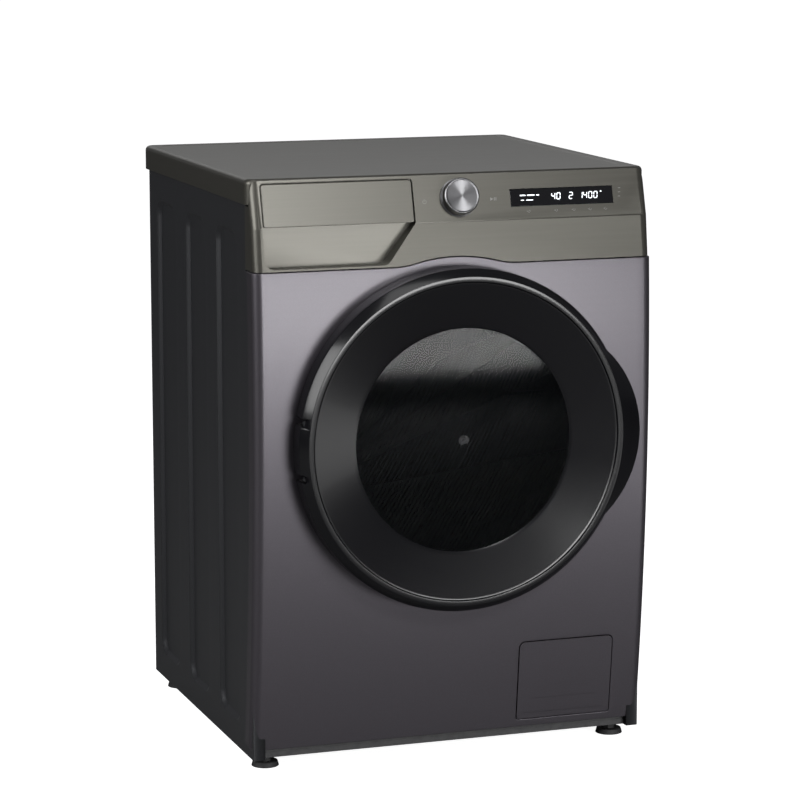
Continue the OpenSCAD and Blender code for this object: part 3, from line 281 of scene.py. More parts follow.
dust, into, out = new_group("settled_dust", {"Amount": 0.1}, ["Mask"])
facing = add(dust, "ShaderNodeNewGeometry").outputs["Normal"]
upward = add(dust, "ShaderNodeSeparateXYZ", {0: facing}).outputs["Z"]
spot = add(dust, "ShaderNodeTexCoord").outputs["Object"]
drift = add(dust, "ShaderNodeTexNoise", {"Vector": spot, "Scale": 24.0, "Detail": 6.0}).outputs["Fac"]
lying = maths(dust, "MULTIPLY", spread(dust, upward, 0.6, 1.0), spread(dust, drift, 0.35, 0.75))
dust.links.new(maths(dust, "MULTIPLY", lying, into.outputs["Amount"]), out.inputs["Mask"])
print("node groups:", [g.name for g in bpy.data.node_groups])

# %% [markdown]
# ## Finishes
#
# One function makes a finish from a base colour, a second colour that its pattern mixes in, and the
# strength of each shared effect. The numbers that are the same all over go straight to the shader.
#
# The floor's finish is made in the same way and then glows a little towards the camera only, so that it
# merges with the white backdrop and doesn't fill the glossy door with white.


# %% The finish builder
PATTERNS = {"flakes": flakes, "hair": hair, "cloud": cloud}
DUST_GREY = (0.35, 0.34, 0.32)
GRAIN_DEPTH = 0.5 * MM
finishes = {}


def place(tree, group, **values):
    """Puts a shared effect into a material with its own values."""
    return add(tree, "ShaderNodeGroup", values, node_tree=group).outputs[0]


def finish(name, colour, second, rough, pattern=("cloud", {}), rough_span=0.08, metallic=0.0,
           bump=0.0, grain=420.0, worn=0.0, worn_colour=(0.3, 0.3, 0.3), dusty=0.0, **shader_values):
    """A material named after its slot: pattern mixes the two colours and varies the roughness."""
    material = bpy.data.materials.new(name)
    material.use_nodes = True
    tree = material.node_tree
    shader = tree.nodes["Principled BSDF"]
    mask = place(tree, PATTERNS[pattern[0]], **pattern[1])
    shade = blend_colour(tree, mask, colour, second)
    if worn:
        shade = blend_colour(tree, place(tree, wear, Amount=worn), shade, worn_colour)
    if dusty:
        shade = blend_colour(tree, place(tree, dust, Amount=dusty), shade, DUST_GREY)
    tree.links.new(shade, shader.inputs["Base Color"])
    tree.links.new(spread(tree, mask, 0, 1, rough, rough + rough_span), shader.inputs["Roughness"])
    if bump:
        height = place(tree, peel, Scale=grain)
        links = {"Height": height, "Strength": bump, "Distance": GRAIN_DEPTH}
        tree.links.new(add(tree, "ShaderNodeBump", links).outputs[0], shader.inputs["Normal"])
    shader.inputs["Metallic"].default_value = metallic
    for key, value in shader_values.items():
        shader.inputs[key.replace("_", " ")].default_value = value
    finishes[name] = material
    return material


# %% The finishes of the machine
finish("dark_paint", (0.066, 0.060, 0.070), (0.088, 0.081, 0.093), 0.36,
       ("flakes", {"Contrast": 0.8}), 0.10, 0.7, bump=0.04, grain=300, Coat_Weight=0.3,
       Coat_Roughness=0.25)
finish("side_paint", (0.026, 0.027, 0.030), (0.038, 0.039, 0.043), 0.40, ("flakes", {"Contrast": 0.7}),
       0.08, 0.45, bump=0.05, grain=300, Coat_Weight=0.25, Coat_Roughness=0.32)
finish("olive_moulding", (0.080, 0.077, 0.066), (0.087, 0.084, 0.072), 0.36,
       ("hair", {"Along": (5, 300, 300), "Scale": 1.0}), 0.03, 0.7, bump=0.03, dusty=0.02,
       Coat_Weight=0.2, Coat_Roughness=0.3)
finish("zinc_sheet", (0.42, 0.43, 0.45), (0.56, 0.57, 0.60), 0.38,
       ("cloud", {"Scale": 34, "Depth": 0.9}), 0.18, 0.9, worn=0.3, worn_colour=(0.75, 0.75, 0.76))
finish("door_black", (0.004, 0.004, 0.005), (0.006, 0.006, 0.007), 0.17, ("cloud", {"Scale": 3}), 0.04,
       Specular_IOR_Level=0.3, Coat_Weight=0.06, Coat_Roughness=0.05)
finish("display_black", (0.004, 0.004, 0.005), (0.008, 0.008, 0.009), 0.05, rough_span=0.05,
       Coat_Weight=0.5, Coat_Roughness=0.04)
finish("black_moulding", (0.022, 0.022, 0.024), (0.034, 0.034, 0.036), 0.45, bump=0.25, grain=900,
       worn=0.3, worn_colour=(0.08, 0.08, 0.08))
finish("white_moulding", (0.74, 0.73, 0.70), (0.66, 0.65, 0.61), 0.38, bump=0.15, grain=700)
finish("grey_moulding", (0.40, 0.41, 0.42), (0.34, 0.35, 0.36), 0.42, bump=0.2, grain=700)
finish("blue_moulding", (0.06, 0.13, 0.34), (0.05, 0.10, 0.27), 0.36, bump=0.15, grain=700)
finish("board_green", (0.02, 0.14, 0.06), (0.03, 0.20, 0.09), 0.4,
       ("cloud", {"Scale": 200, "Depth": 1}))
finish("grey_rubber", (0.085, 0.088, 0.092), (0.11, 0.113, 0.118), 0.6, bump=0.2, grain=600, dusty=0.1)
finish("black_rubber", (0.014, 0.014, 0.015), (0.024, 0.024, 0.025), 0.65, bump=0.3, grain=700,
       dusty=0.15)
finish("stainless", (0.60, 0.60, 0.61), (0.70, 0.70, 0.71), 0.2, ("hair", {"Along": (260, 12, 260)}),
       0.14, 1.0)
finish("bright_steel", (0.58, 0.58, 0.60), (0.66, 0.66, 0.68), 0.24,
       ("cloud", {"Scale": 60, "Depth": 1}), 0.14, 1.0, worn=0.2, worn_colour=(0.8, 0.8, 0.8))
finish("cast_aluminium", (0.50, 0.50, 0.52), (0.60, 0.60, 0.61), 0.45,
       ("cloud", {"Scale": 90, "Depth": 1}), 0.15, 0.9, bump=0.5, grain=800)
finish("spun_aluminium", (0.15, 0.15, 0.155), (0.19, 0.19, 0.195), 0.27, ("cloud", {"Scale": 12}), 0.08,
       1.0, Anisotropic=0.75)
finish("concrete", (0.34, 0.33, 0.31), (0.24, 0.235, 0.22), 0.85, ("cloud", {"Scale": 70, "Depth": 1}),
       bump=0.9, grain=260)
finish("motor_metal", (0.13, 0.135, 0.14), (0.19, 0.195, 0.2), 0.4,
       ("cloud", {"Scale": 50, "Depth": 1}), 0.1, 0.6, bump=0.2)
finish("floor", (0.86, 0.86, 0.87), (0.90, 0.90, 0.90), 0.7, ("cloud", {"Scale": 0.5}))
print(len(finishes), "finishes")

# %% The floor looks white but mirrors dark
MIRRORED_FLOOR = (0.13, 0.13, 0.13)
FLOOR_GLOW = 0.95
floor_tree = finishes["floor"].node_tree
floor_shader = floor_tree.nodes["Principled BSDF"]
straight = add(floor_tree, "ShaderNodeLightPath").outputs["Is Camera Ray"]
floor_tree.links.new(maths(floor_tree, "MULTIPLY", straight, FLOOR_GLOW),
                     floor_shader.inputs["Emission Strength"])
floor_shader.inputs["Emission Color"].default_value = (*WHITE, 1)
pale = floor_shader.inputs["Base Color"].links[0].from_socket
floor_tree.links.new(blend_colour(floor_tree, straight, MIRRORED_FLOOR, pale),
                     floor_shader.inputs["Base Color"])
floor_data.materials.append(finishes["floor"])
print("floor glow:", FLOOR_GLOW)

# %% [markdown]
# ## Dark see-through plastics
#
# The window and the glass bowl let the drum show faintly. A little transparency in a near-black gloss
# does that, and the surface keeps its sharp mirror of the lights. At grazing angles glass turns into a
# mirror, so the transparency fades there.


# %% See-through finishes
GLASS_BEND = 1.45
LEAST_MIRROR = 0.04


def see_through(name, colour, clear, rough):
    """A glossy film that lets the share `clear` of the light through when seen straight on."""
    material = bpy.data.materials.new(name)
    material.use_nodes = True
    tree = material.node_tree
    shader = tree.nodes["Principled BSDF"]
    shader.inputs["Roughness"].default_value = rough
    shader.inputs["IOR"].default_value = GLASS_BEND
    tint = place(tree, cloud, Scale=5.0, Depth=0.6)
    tree.links.new(blend_colour(tree, tint, colour, tuple(1.3 * c for c in colour)),
                   shader.inputs["Base Color"])
    edge = add(tree, "ShaderNodeFresnel", {"IOR": GLASS_BEND}).outputs[0]
    tree.links.new(spread(tree, edge, LEAST_MIRROR, 1.0, 1 - clear, 1.0), shader.inputs["Alpha"])
    finishes[name] = material
    return material


see_through("smoked_window", (0.006, 0.007, 0.008), 0.80, 0.06)
see_through("clear_glass", (0.10, 0.11, 0.115), 0.82, 0.02)
print("see-through:", "smoked_window", "clear_glass")

# %% [markdown]
# ## Giving every part of the frame its finish
#
# The record names one slot for each part. Each part takes the finish of its slot first, so that even
# the hidden ones, such as the motor and the bearings, have a worked-out surface.

# %% Finish every part
slot_of = {part["node"]: part["material_slot"] for part in frame["record"]["subparts"]}
for node_name, node in frame["nodes"].items():
    node.data.materials.clear()
    node.data.materials.append(finishes[slot_of[node_name]])
print("finished parts:", len(slot_of))

# %% [markdown]
# ## Helpers for building meshes
#
# Four ways of building cover the whole machine. A *loft* joins rings of points, for anything turned or
# moulded. A *pressed sheet* is cut flat and then bent, as the real panels are. A *softened* part is the
# frame's own shape with its sharp edges rounded over. A *cut* takes slots out of a finished piece.


# %% Turning a mesh into a piece
def piece(name, shape, body, slot, replaced=(), smooth=35, matrix=None, look=None):
    """Finishes a bmesh as a piece that rides on a body and takes its finish from a slot."""
    mesh = bpy.data.meshes.new(name)
    shape.to_mesh(mesh)
    shape.free()
    mesh.shade_smooth()
    mesh.set_sharp_from_angle(angle=math.radians(smooth))
    mesh.materials.append(finishes[look or slot])
    obj = bpy.data.objects.new(name, mesh)
    bpy.context.scene.collection.objects.link(obj)
    if matrix is not None:
        obj.matrix_world = matrix
    if body is not None:
        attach(obj, body)
    if replaced:
        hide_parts(*replaced)
    return obj


def apply_modifiers(obj):
    """Bakes the modifiers into the mesh, so that the mesh itself holds what is seen."""
    graph = bpy.context.evaluated_depsgraph_get()
    mesh = bpy.data.meshes.new_from_object(obj.evaluated_get(graph))
    obj.modifiers.clear()
    obj.data = mesh
    return obj


def calmed(obj):
    """Weighted normals keep the broad faces of a piece calm beside its narrow edges."""
    obj.modifiers.new("calm_normals", "WEIGHTED_NORMAL").keep_sharp = True
    return apply_modifiers(obj)


def thicken(obj, thickness):
    """Gives a sheet its thickness, behind the face it was drawn with."""
    solid = obj.modifiers.new("thickness", "SOLIDIFY")
    solid.thickness = thickness
    solid.offset = -1
    solid.use_even_offset = True
    return calmed(obj)


# %% Softened parts
SAME_POINT = 2e-6
FLAT_ANGLE = math.radians(0.3)
SOFT_ANGLE = 28


def own_shape(node_name):
    """The frame's own part as a bmesh, with its doubled points joined."""
    shape = bmesh.new()
    shape.from_mesh(frame["nodes"][node_name].data)
    bmesh.ops.remove_doubles(shape, verts=shape.verts, dist=SAME_POINT)
    return shape


def softened(node_name, width):
    """The frame's own part with its edges rounded over by width, as a piece of its own."""
    shape = own_shape(node_name)
    bmesh.ops.dissolve_limit(shape, angle_limit=FLAT_ANGLE, verts=shape.verts, edges=shape.edges)
    body = frame["nodes"][node_name]["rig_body"]
    obj = piece(node_name + "_piece", shape, body, slot_of[node_name], [node_name],
                smooth=SOFT_ANGLE)
    rounding = obj.modifiers.new("rounding", "BEVEL")
    rounding.width = width
    rounding.segments = 2
    rounding.limit_method = "ANGLE"
    rounding.angle_limit = math.radians(SOFT_ANGLE)
    rounding.harden_normals = True
    rounding.miter_outer = "MITER_ARC"
    return apply_modifiers(obj)


# %% Lofts
def round_box(width, height, upper, steps=6, lower=None):
    """Points of a rounded rectangle round the origin, counter-clockwise, from its corner radii."""
    points = []
    for quarter, (sx, sz) in enumerate(((1, 1), (-1, 1), (-1, -1), (1, -1))):
        corner = upper if sz > 0 or lower is None else lower
        for i in range(steps + 1):
            a = math.pi / 2 * (quarter + i / steps)
            points.append((sx * (width / 2 - corner) + corner * math.cos(a),
                           sz * (height / 2 - corner) + corner * math.sin(a)))
    return points


def circle_points(radius, count):
    turn = 2 * math.pi / count
    return [(radius * math.cos(turn * i), radius * math.sin(turn * i)) for i in range(count)]


def ring(radius, y, count, centre_z=door_z):
    """A ring of points round an axis along Y, which is the door's unless a height is given."""
    return [(x, y, centre_z + z) for x, z in circle_points(radius, count)]


def loft(rings, closed=False):
    """Joins rings of as many points each, and fills the first and the last unless it is closed."""
    shape = bmesh.new()
    rows = [[shape.verts.new(p) for p in row] for row in rings]
    count = len(rows[0])
    pairs = list(zip(rows, rows[1:])) + ([(rows[-1], rows[0])] if closed else [])
    for a, b in pairs:
        for i in range(count):
            j = (i + 1) % count
            shape.faces.new((a[i], a[j], b[j], b[i]))
    if not closed:
        shape.faces.new(rows[0])
        shape.faces.new(rows[-1])
    bmesh.ops.recalc_face_normals(shape, faces=shape.faces)
    return shape


def rounded_corner(before, corner, after, radius, steps=3):
    """Points of a fillet at a corner of a profile."""
    a, c, b = Vector(before), Vector(corner), Vector(after)
    into, away = (a - c).normalized(), (b - c).normalized()
    half = into.angle(away) / 2
    reach = min(radius / math.tan(half), 0.49 * (a - c).length, 0.49 * (b - c).length)
    start, end = c + into * reach, c + away * reach
    parts = [i / steps for i in range(steps + 1)]
    return [tuple(start.lerp(c, t).lerp(c.lerp(end, t), t)) for t in parts]


def soft_profile(points, closed=False, steps=3):
    """A profile of (radius, y) or (radius, y, fillet) points with its corners rounded."""
    out = []
    count = len(points)
    for i, point in enumerate(points):
        fillet = point[2] if len(point) > 2 else 0
        if fillet == 0 or (not closed and i in (0, count - 1)):
            out.append((point[0], point[1]))
            continue
        before, after = points[i - 1], points[(i + 1) % count]
        out += rounded_corner(before[:2], point[:2], after[:2], fillet, steps)
    return out


def turned(profile, count=128):
    """A closed loft round the door's axis from a profile of (radius, y) points."""
    return loft([ring(radius, y, count) for radius, y in profile], closed=True)


# %% Pressed sheets
CLEAR_OF_BORDER = 0.12


def inside(point, loop):
    """Whether a flat point lies inside a closed loop of points."""
    x, y = point
    hit = False
    for (ax, ay), (bx, by) in zip(loop, loop[1:] + loop[:1]):
        if (ay > y) != (by > y) and x < (bx - ax) * (y - ay) / (by - ay) + ax:
            hit = not hit
    return hit


def flat_sheet(outline, holes=(), creases=(), pitch=0.02, columns=()):
    """Triangulates a flat sheet with holes and crease lines; returns its points and triangles."""
    points, edges = [], []

    def on_sheet(spot):
        return inside(spot, outline) and not any(inside(spot, hole) for hole in holes)

    for loop in (outline, *holes, *creases):
        start, count = len(points), len(loop)
        points += [Vector(p) for p in loop]
        edges += [(start + i, start + (i + 1) % count) for i in range(count)]
    low_u, high_u = min(p[0] for p in outline), max(p[0] for p in outline)
    low_v, high_v = min(p[1] for p in outline), max(p[1] for p in outline)
    border = list(points)
    count = round((high_u - low_u) / pitch)
    rows = round((high_v - low_v) / pitch)
    for u in columns or [low_u + (high_u - low_u) * i / count for i in range(1, count)]:
        for j in range(1, rows):
            spot = (u, low_v + (high_v - low_v) * j / rows)
            nearest = (CLEAR_OF_BORDER * pitch) ** 2
            if on_sheet(spot) and min((Vector(spot) - p).length_squared for p in border) > nearest:
                points.append(Vector(spot))
    verts, _, faces, *_ = delaunay_2d_cdt(points, edges, [], 0, 1e-7)
    kept = []
    for face in faces:
        centre = sum((verts[i] for i in face), Vector((0, 0))) / len(face)
        if on_sheet(centre):
            kept.append(face)
    return verts, kept


def bent_sheet(flat, to_space):
    """The flat sheet bent into space by a function of its two flat measures."""
    verts, faces = flat
    shape = bmesh.new()
    placed = [shape.verts.new(to_space(*v)) for v in verts]
    for face in faces:
        shape.faces.new([placed[i] for i in face])
    loose = [v for v in shape.verts if not v.link_faces]
    bmesh.ops.delete(shape, geom=loose, context="VERTS")
    shape.normal_update()
    return shape


def hem(shape, radius, depth, steps=3):
    """Rolls every open edge of a sheet over to its back; depth(point) is the flange's length."""
    shape.normal_update()
    rim = [e for e in shape.edges if e.is_boundary]
    outward = {}
    for edge in rim:
        face = edge.link_faces[0]
        a, b = edge.verts
        across = (b.co - a.co).cross(face.normal).normalized()
        if across.dot(face.calc_center_median() - (a.co + b.co) / 2) > 0:
            across.negate()
        for vert in (a, b):
            outward.setdefault(vert, []).append(across)
    chains = {}
    for vert, sides in outward.items():
        away = sum(sides, Vector()).normalized()
        away = away / max(0.5, away.dot(sides[0]))  # a corner reaches farther, up to twice
        down = -vert.normal
        chain = [vert]
        for k in range(1, steps + 1):
            a = math.pi / 2 * k / steps
            turn = away * radius * math.sin(a) + down * radius * (1 - math.cos(a))
            chain.append(shape.verts.new(vert.co + turn))
        chain.append(shape.verts.new(vert.co + away * radius + down * (radius + depth(vert.co))))
        chains[vert] = chain
    for edge in rim:
        loop = edge.link_loops[0]
        first, second = loop.vert, loop.link_loop_next.vert
        for k in range(steps + 1):
            shape.faces.new((chains[second][k], chains[first][k], chains[first][k + 1],
                             chains[second][k + 1]))
    shape.normal_update()
    return shape


def cut(obj, *cutters):
    """Takes the cutters' shapes out of a piece."""
    for cutter in cutters:
        opening = obj.modifiers.new("opening", "BOOLEAN")
        opening.object = cutter
        opening.solver = "EXACT"
    apply_modifiers(obj)
    for cutter in cutters:
        bpy.data.objects.remove(cutter)
    return obj


def cutter_box(low, high):
    shape = bmesh.new()
    bmesh.ops.create_cube(shape, size=1)
    size = Vector(high) - Vector(low)
    bmesh.ops.scale(shape, vec=size, verts=shape.verts)
    bmesh.ops.translate(shape, vec=(Vector(high) + Vector(low)) / 2, verts=shape.verts)
    return piece("cutter", shape, None, "black_moulding")


print("builders ready: loft, bent_sheet, softened, cut")

# %% [markdown]
# ## The bowed front panel
#
# On the real machine this is one pressed sheet: flat across, bowed from top to bottom, turned back at
# both sides, with a round hole for the door and an arch over it. It is cut flat here, with its hole and
# its opening for the flap, then bent. Fine rows of points keep the bow smooth in the highlights.

# %% The unrolled front
CORNER = 14 * MM
RETURN_DEPTH = 30 * MM
FOOT_CORNER = 5 * MM
HEM = 1.0 * MM
flat_half = front_half - CORNER
turn_end = flat_half + math.pi / 2 * CORNER
sheet_half = turn_end + RETURN_DEPTH - CORNER
foot_z = front_low.z
bowl_low, bowl_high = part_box("door_bowl")
mouth_r = (bowl_high.x - bowl_low.x) / 2 - 2 * MM
flap_low, flap_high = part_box("service_flap")


def front_point(u, z):
    """A point of the unrolled front sheet in space: u runs round the corners, z is upright."""
    side, across = math.copysign(1, u), abs(u)
    if across <= flat_half:
        x, inset = across, 0.0
    elif across <= turn_end:
        a = (across - flat_half) / CORNER
        x, inset = flat_half + CORNER * math.sin(a), CORNER * (1 - math.cos(a))
    else:
        x, inset = front_half, CORNER + across - turn_end
    return side * x, front_y + bow(z, inset), z


def lower_edge(u):
    """Height of the front sheet's lower edge, with its round lower corners."""
    reach = max(0.0, abs(front_point(u, BOW_HEIGHT)[0]) - front_half + FOOT_CORNER)
    return foot_z + FOOT_CORNER - math.sqrt(FOOT_CORNER ** 2 - reach ** 2)


ARCH_RISE = 12 * MM
seam_z = front_high.z - ARCH_RISE
ARCH_HALF = 75 * MM
ARCH_FILLET = 120 * MM
arch_r = (ARCH_HALF ** 2 + ARCH_RISE ** 2) / (2 * ARCH_RISE)
arch_z = seam_z + ARCH_RISE - arch_r
arch_end = math.sqrt((arch_r + ARCH_FILLET) ** 2 - (seam_z + ARCH_FILLET - arch_z) ** 2)
arch_turn = math.asin(arch_end / (arch_r + ARCH_FILLET))


def upper_edge(x, drop=0.0):
    """Height of the seam under the control panel, which arches over the door."""
    x = abs(x)
    if x >= arch_end:
        return seam_z - drop
    if x >= arch_r * math.sin(arch_turn):
        fillet = ARCH_FILLET + drop
        return seam_z + ARCH_FILLET - math.sqrt(fillet ** 2 - (arch_end - x) ** 2)
    return arch_z + math.sqrt((arch_r - drop) ** 2 - x ** 2)


# %% Cut the front sheet
TURN_STEPS, HALF_STEPS, UPRIGHT_STEPS = 8, 30, 34
turn_steps = range(TURN_STEPS, 0, -1)
side_steps = [sheet_half] + [flat_half + (turn_end - flat_half) * k / TURN_STEPS for k in turn_steps]
across_steps = [flat_half * (1 - i / HALF_STEPS) for i in range(2 * HALF_STEPS + 1)]
whole_row = side_steps + across_steps + [-u for u in reversed(side_steps)]
lower_row = [(u, lower_edge(u) + HEM) for u in whole_row]
upper_row = [(u, upper_edge(front_point(u, 0)[0], HEM)) for u in reversed(whole_row)]
low_end = foot_z + FOOT_CORNER
rise = (seam_z - low_end) / UPRIGHT_STEPS
upright = [low_end + rise * k for k in range(1, UPRIGHT_STEPS)]
front_outline = (lower_row + [(-sheet_half, z) for z in upright] + upper_row
                 + [(sheet_half, z) for z in reversed(upright)])
door_hole = [(x, door_z + z) for x, z in circle_points(mouth_r + HEM, 120)]
print("mouth radius", round(mouth_r / MM), "mm")

# %% The flap's outline
flap_x, flap_z = (flap_low.x + flap_high.x) / 2, (flap_low.z + flap_high.z) / 2
FLAP_GAP = 1.2 * MM
FLAP_PINS = 12 * MM
FLAP_CORNER, FLAP_FOOT_CORNER = 8 * MM, 3 * MM


def flap_loop(grow):
    """The flap's outline made larger by grow; its tighter foot corners let it turn in its opening."""
    width, height = flap_high.x - flap_low.x - FLAP_PINS, flap_high.z - flap_low.z
    loop = round_box(width + 2 * grow, height + 2 * grow, FLAP_CORNER + grow,
                     lower=FLAP_FOOT_CORNER + grow)
    return [(flap_x + x, flap_z + z) for x, z in loop]


flap_hole = flap_loop(FLAP_GAP + HEM)
print("flap gap", FLAP_GAP / MM, "mm")

# %% Bend it, hem it and give it thickness
front_flat = flat_sheet(front_outline, [door_hole, flap_hole], columns=whole_row[1:-1])
front_shape = bent_sheet(front_flat, front_point)
MOUTH_FLANGE, EDGE_FLANGE = 16 * MM, 7 * MM


def front_flange(spot):
    """The flange turned back is deep round the door's mouth and shallow elsewhere."""
    from_door = math.hypot(spot.x, spot.z - door_z)
    return MOUTH_FLANGE if from_door < mouth_r + 5 * MM else EDGE_FLANGE


hem(front_shape, HEM, front_flange)
front_piece = piece("front_panel_sheet", front_shape, "cabinet", "dark_paint", ["front_panel"])
thicken(front_piece, STEEL)
print("front panel faces:", len(front_piece.data.polygons))

# %% [markdown]
# ## The service flap
#
# The flap at the lower right is a piece of the same bowed front. It is bent by the same function, so
# that its face lines up with the panel round it, and only a fine shadow line shows.

# %% Service flap
flap_shape = bent_sheet(flat_sheet(flap_loop(-HEM)), front_point)
hem(flap_shape, HEM, lambda spot: 5 * MM)
flap_piece = piece("service_flap_sheet", flap_shape, "flap", "dark_paint")
thicken(flap_piece, STEEL)
print("flap faces:", len(flap_piece.data.polygons))

# %% [markdown]
# ## Side panels with recessed fields
#
# Three upright fields are pressed into each side to stiffen it. The sheet is cut flat with crease loops
# that follow each field's slope, and the height function then presses the fields in by a smooth ramp.

# %% Side panels
FIELD_WIDTH, FIELD_HEIGHT, FIELD_CORNER = 110 * MM, 718 * MM, 27 * MM
FIELD_DEPTH = 6 * MM
RAMP = 9 * MM
FIELD_STEP = 166 * MM
FIELD_SHIFT = 9.6 * MM
FIELD_MIDDLE_Z = 415 * MM
side_middle = (side_high.y + side_low.y) / 2 + FIELD_SHIFT
field_middle = [side_middle + k * FIELD_STEP for k in (-1, 0, 1)]


def field_distance(y, z, centre):
    """How far a point lies inside the field's rounded outline; negative outside."""
    from_y = abs(y - centre) - (FIELD_WIDTH / 2 - FIELD_CORNER)
    from_z = abs(z - FIELD_MIDDLE_Z) - (FIELD_HEIGHT / 2 - FIELD_CORNER)
    outer = math.hypot(max(from_y, 0), max(from_z, 0)) + min(max(from_y, from_z), 0)
    return FIELD_CORNER - outer


def pressed_in(y, z):
    t = max(min(max(field_distance(y, z, c) for c in field_middle) / RAMP, 1), 0)
    return FIELD_DEPTH * t * t * (3 - 2 * t)


def side_sheet(name, side):
    """The left panel for side -1, the right one for side +1."""
    notch_y, notch_z = panel_back + STEEL, seam_z - STEEL
    corners = [(side_low.y, side_low.z), (side_high.y, side_low.z), (side_high.y, side_high.z),
               (notch_y, side_high.z), (notch_y, notch_z), (side_low.y, notch_z)]
    loops = [[(c + y, FIELD_MIDDLE_Z + z) for y, z in
              round_box(FIELD_WIDTH - 2 * d, FIELD_HEIGHT - 2 * d, FIELD_CORNER - d, 8)]
             for c in field_middle for d in (0, 1.5 * MM, 4.5 * MM, 7.5 * MM, RAMP)]
    flat = flat_sheet([(y, z) for y, z in corners], creases=loops, pitch=0.035)
    shape = bent_sheet(flat, lambda y, z: (side * (side_high.x - pressed_in(y, z)), y, z))
    if side < 0:
        bmesh.ops.reverse_faces(shape, faces=shape.faces)
    hem(shape, 0.8 * MM, lambda spot: 17 * MM)
    sheet = piece(name + "_sheet", shape, "cabinet", "side_paint", [name])
    return thicken(sheet, 0.8 * MM)


left_side = side_sheet("side_panel_left", -1)
side_sheet("side_panel_right", 1)
print("side panel faces:", len(left_side.data.polygons))

# %% [markdown]
# ## Top cover
#
# The top is a tray turned upside down: a skirt with a rounded upper edge, a flat border, and a field
# a little lower than the border. Lofting rounded rectangles, each inside the last, makes it in one go.

# %% Top cover
top_width, top_depth = top_high.x - top_low.x, top_high.y - top_low.y
top_y = (top_high.y + top_low.y) / 2
TOP_CORNER = 16 * MM
EDGE_ROLL = 7 * MM
BORDER = 21 * MM
SKIRT = 3 * MM
FIELD_DROP = 0.8 * MM
ROLL_STEPS = 8
top_steps = [(SKIRT, top_high.z - 4 * MM), (SKIRT, top_low.z), (0.6 * MM, top_low.z),
             (0, top_low.z + 0.6 * MM), (0, top_high.z - EDGE_ROLL - 4 * MM)]
for k in range(ROLL_STEPS + 1):
    a = math.pi / 2 * k / ROLL_STEPS
    top_steps.append((EDGE_ROLL * (1 - math.cos(a)), top_high.z - EDGE_ROLL * (1 - math.sin(a))))
for t in (0, 0.25, 0.5, 0.75, 1):
    drop = FIELD_DROP * t * t * (3 - 2 * t)
    top_steps.append((BORDER + 3 * MM * t, top_high.z - drop))
top_rings = []
for inset, z in top_steps:
    corner = max(TOP_CORNER - inset, 2 * MM)
    outline = round_box(top_width - 2 * inset, top_depth - 2 * inset, corner, 8)
    top_rings.append([(x, top_y + y, z) for x, y in outline])
top_piece = piece("top_cover_tray", loft(top_rings), "cabinet", "olive_moulding", ["top_cover"])
calmed(top_piece)
print("top cover faces:", len(top_piece.data.polygons))

# %% [markdown]
# ## Control panel and the other mouldings
#
# The panel, the drawer's tray, the feet and many inner parts are mouldings, castings or pressings.
# Their shape comes from the frame; what it needs on top is a small, even rounding on every edge, since
# that is where the studio lights draw a bright line. The table gives each rounding in millimetres.

# %% Softened mouldings
ROUNDINGS = {
    "control_panel": 0.5, "door_inner_frame": 0.6, "door_hook": 0.5,
    "door_lock": 0.6, "hinge_bracket": 0.4, "hinge_leaf": 0.5, "drawer_tray": 0.5,
    "drawer_housing": 0.5,
    "base_pan": 0.6, "rear_panel": 0.3, "rear_cover": 0.8, "panel_screws": 0.3, "transit_caps": 0.8,
    "drum_paddles": 2.0, "foot_front_left": 0.8, "foot_front_right": 0.8, "foot_rear_left": 0.8,
    "foot_rear_right": 0.8, "drain_filter": 0.6, "filter_housing": 0.5, "inlet_valve": 0.4,
    "cord_gland": 0.6, "drain_hose": 0.2, "tub_front": 0.6, "tub_rear": 0.6,
    "counterweight_front": 2.0, "counterweight_top": 2.0, "motor": 0.8, "cross_braces": 0.3,
}
for node_name, width in ROUNDINGS.items():
    softened(node_name, width * MM)
print("softened parts:", len(ROUNDINGS))

# %% [markdown]
# ## Drawer front
#
# The drawer front is one thick moulding whose face leans back in the plane of the upper strip. Its
# lower edge hangs over the finger pocket. A loft of the same outline, pulled in a little at each step,
# gives it the soft edge that catches a fine line of light. The lean is read from the knob's axis.

# %% The leaning strip
knob_joint = next(j for j in frame["record"]["behaviour"]["joints"] if j["name"] == "knob_turn")
knob_axis = Vector(knob_joint["axis"])
LEAN = math.atan2(knob_axis.z, -knob_axis.y)
print("upper strip leans back", round(math.degrees(LEAN)), "degrees")

# %% Drawer front
drawer_low, drawer_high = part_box("drawer_front")
drawer_w, drawer_h = drawer_high.x - drawer_low.x, drawer_high.z - drawer_low.z
drawer_x, drawer_z = (drawer_high.x + drawer_low.x) / 2, (drawer_high.z + drawer_low.z) / 2
DRAWER_CORNER, DRAWER_FOOT_CORNER = 5 * MM, 3 * MM
edge_steps = ((0, 1.6 * MM), (0.2 * MM, 0.8 * MM), (0.7 * MM, 0.25 * MM), (1.6 * MM, 0))
drawer_rings = []
for inset, depth in ((0, None), *edge_steps):
    outline = round_box(drawer_w - 2 * inset, drawer_h - 2 * inset, DRAWER_CORNER - inset, 8,
                        DRAWER_FOOT_CORNER - inset)
    row = []
    for x, z in outline:
        face_y = drawer_low.y + (z + drawer_h / 2) * math.tan(LEAN)
        y = drawer_high.y - 0.2 * MM if depth is None else face_y + depth
        row.append((drawer_x + x, y, drawer_z + z))
    drawer_rings.append(row)
drawer_piece = piece("drawer_front_moulding", loft(drawer_rings), "drawer", "olive_moulding",
                     ["drawer_front"])
calmed(drawer_piece)
print("drawer front:", round(drawer_w / MM), "by", round(drawer_h / MM), "mm")

# %% [markdown]
# ## Door rim
#
# The rim is turned, with a chamfer in front and a groove round the dished cover. At the right it swells
# into a grip, so the outline is a second circle set off to the right, and each spoke of the loft
# reaches out to whichever circle is farther away. At the left, two slots let the hinge's knuckles
# through.

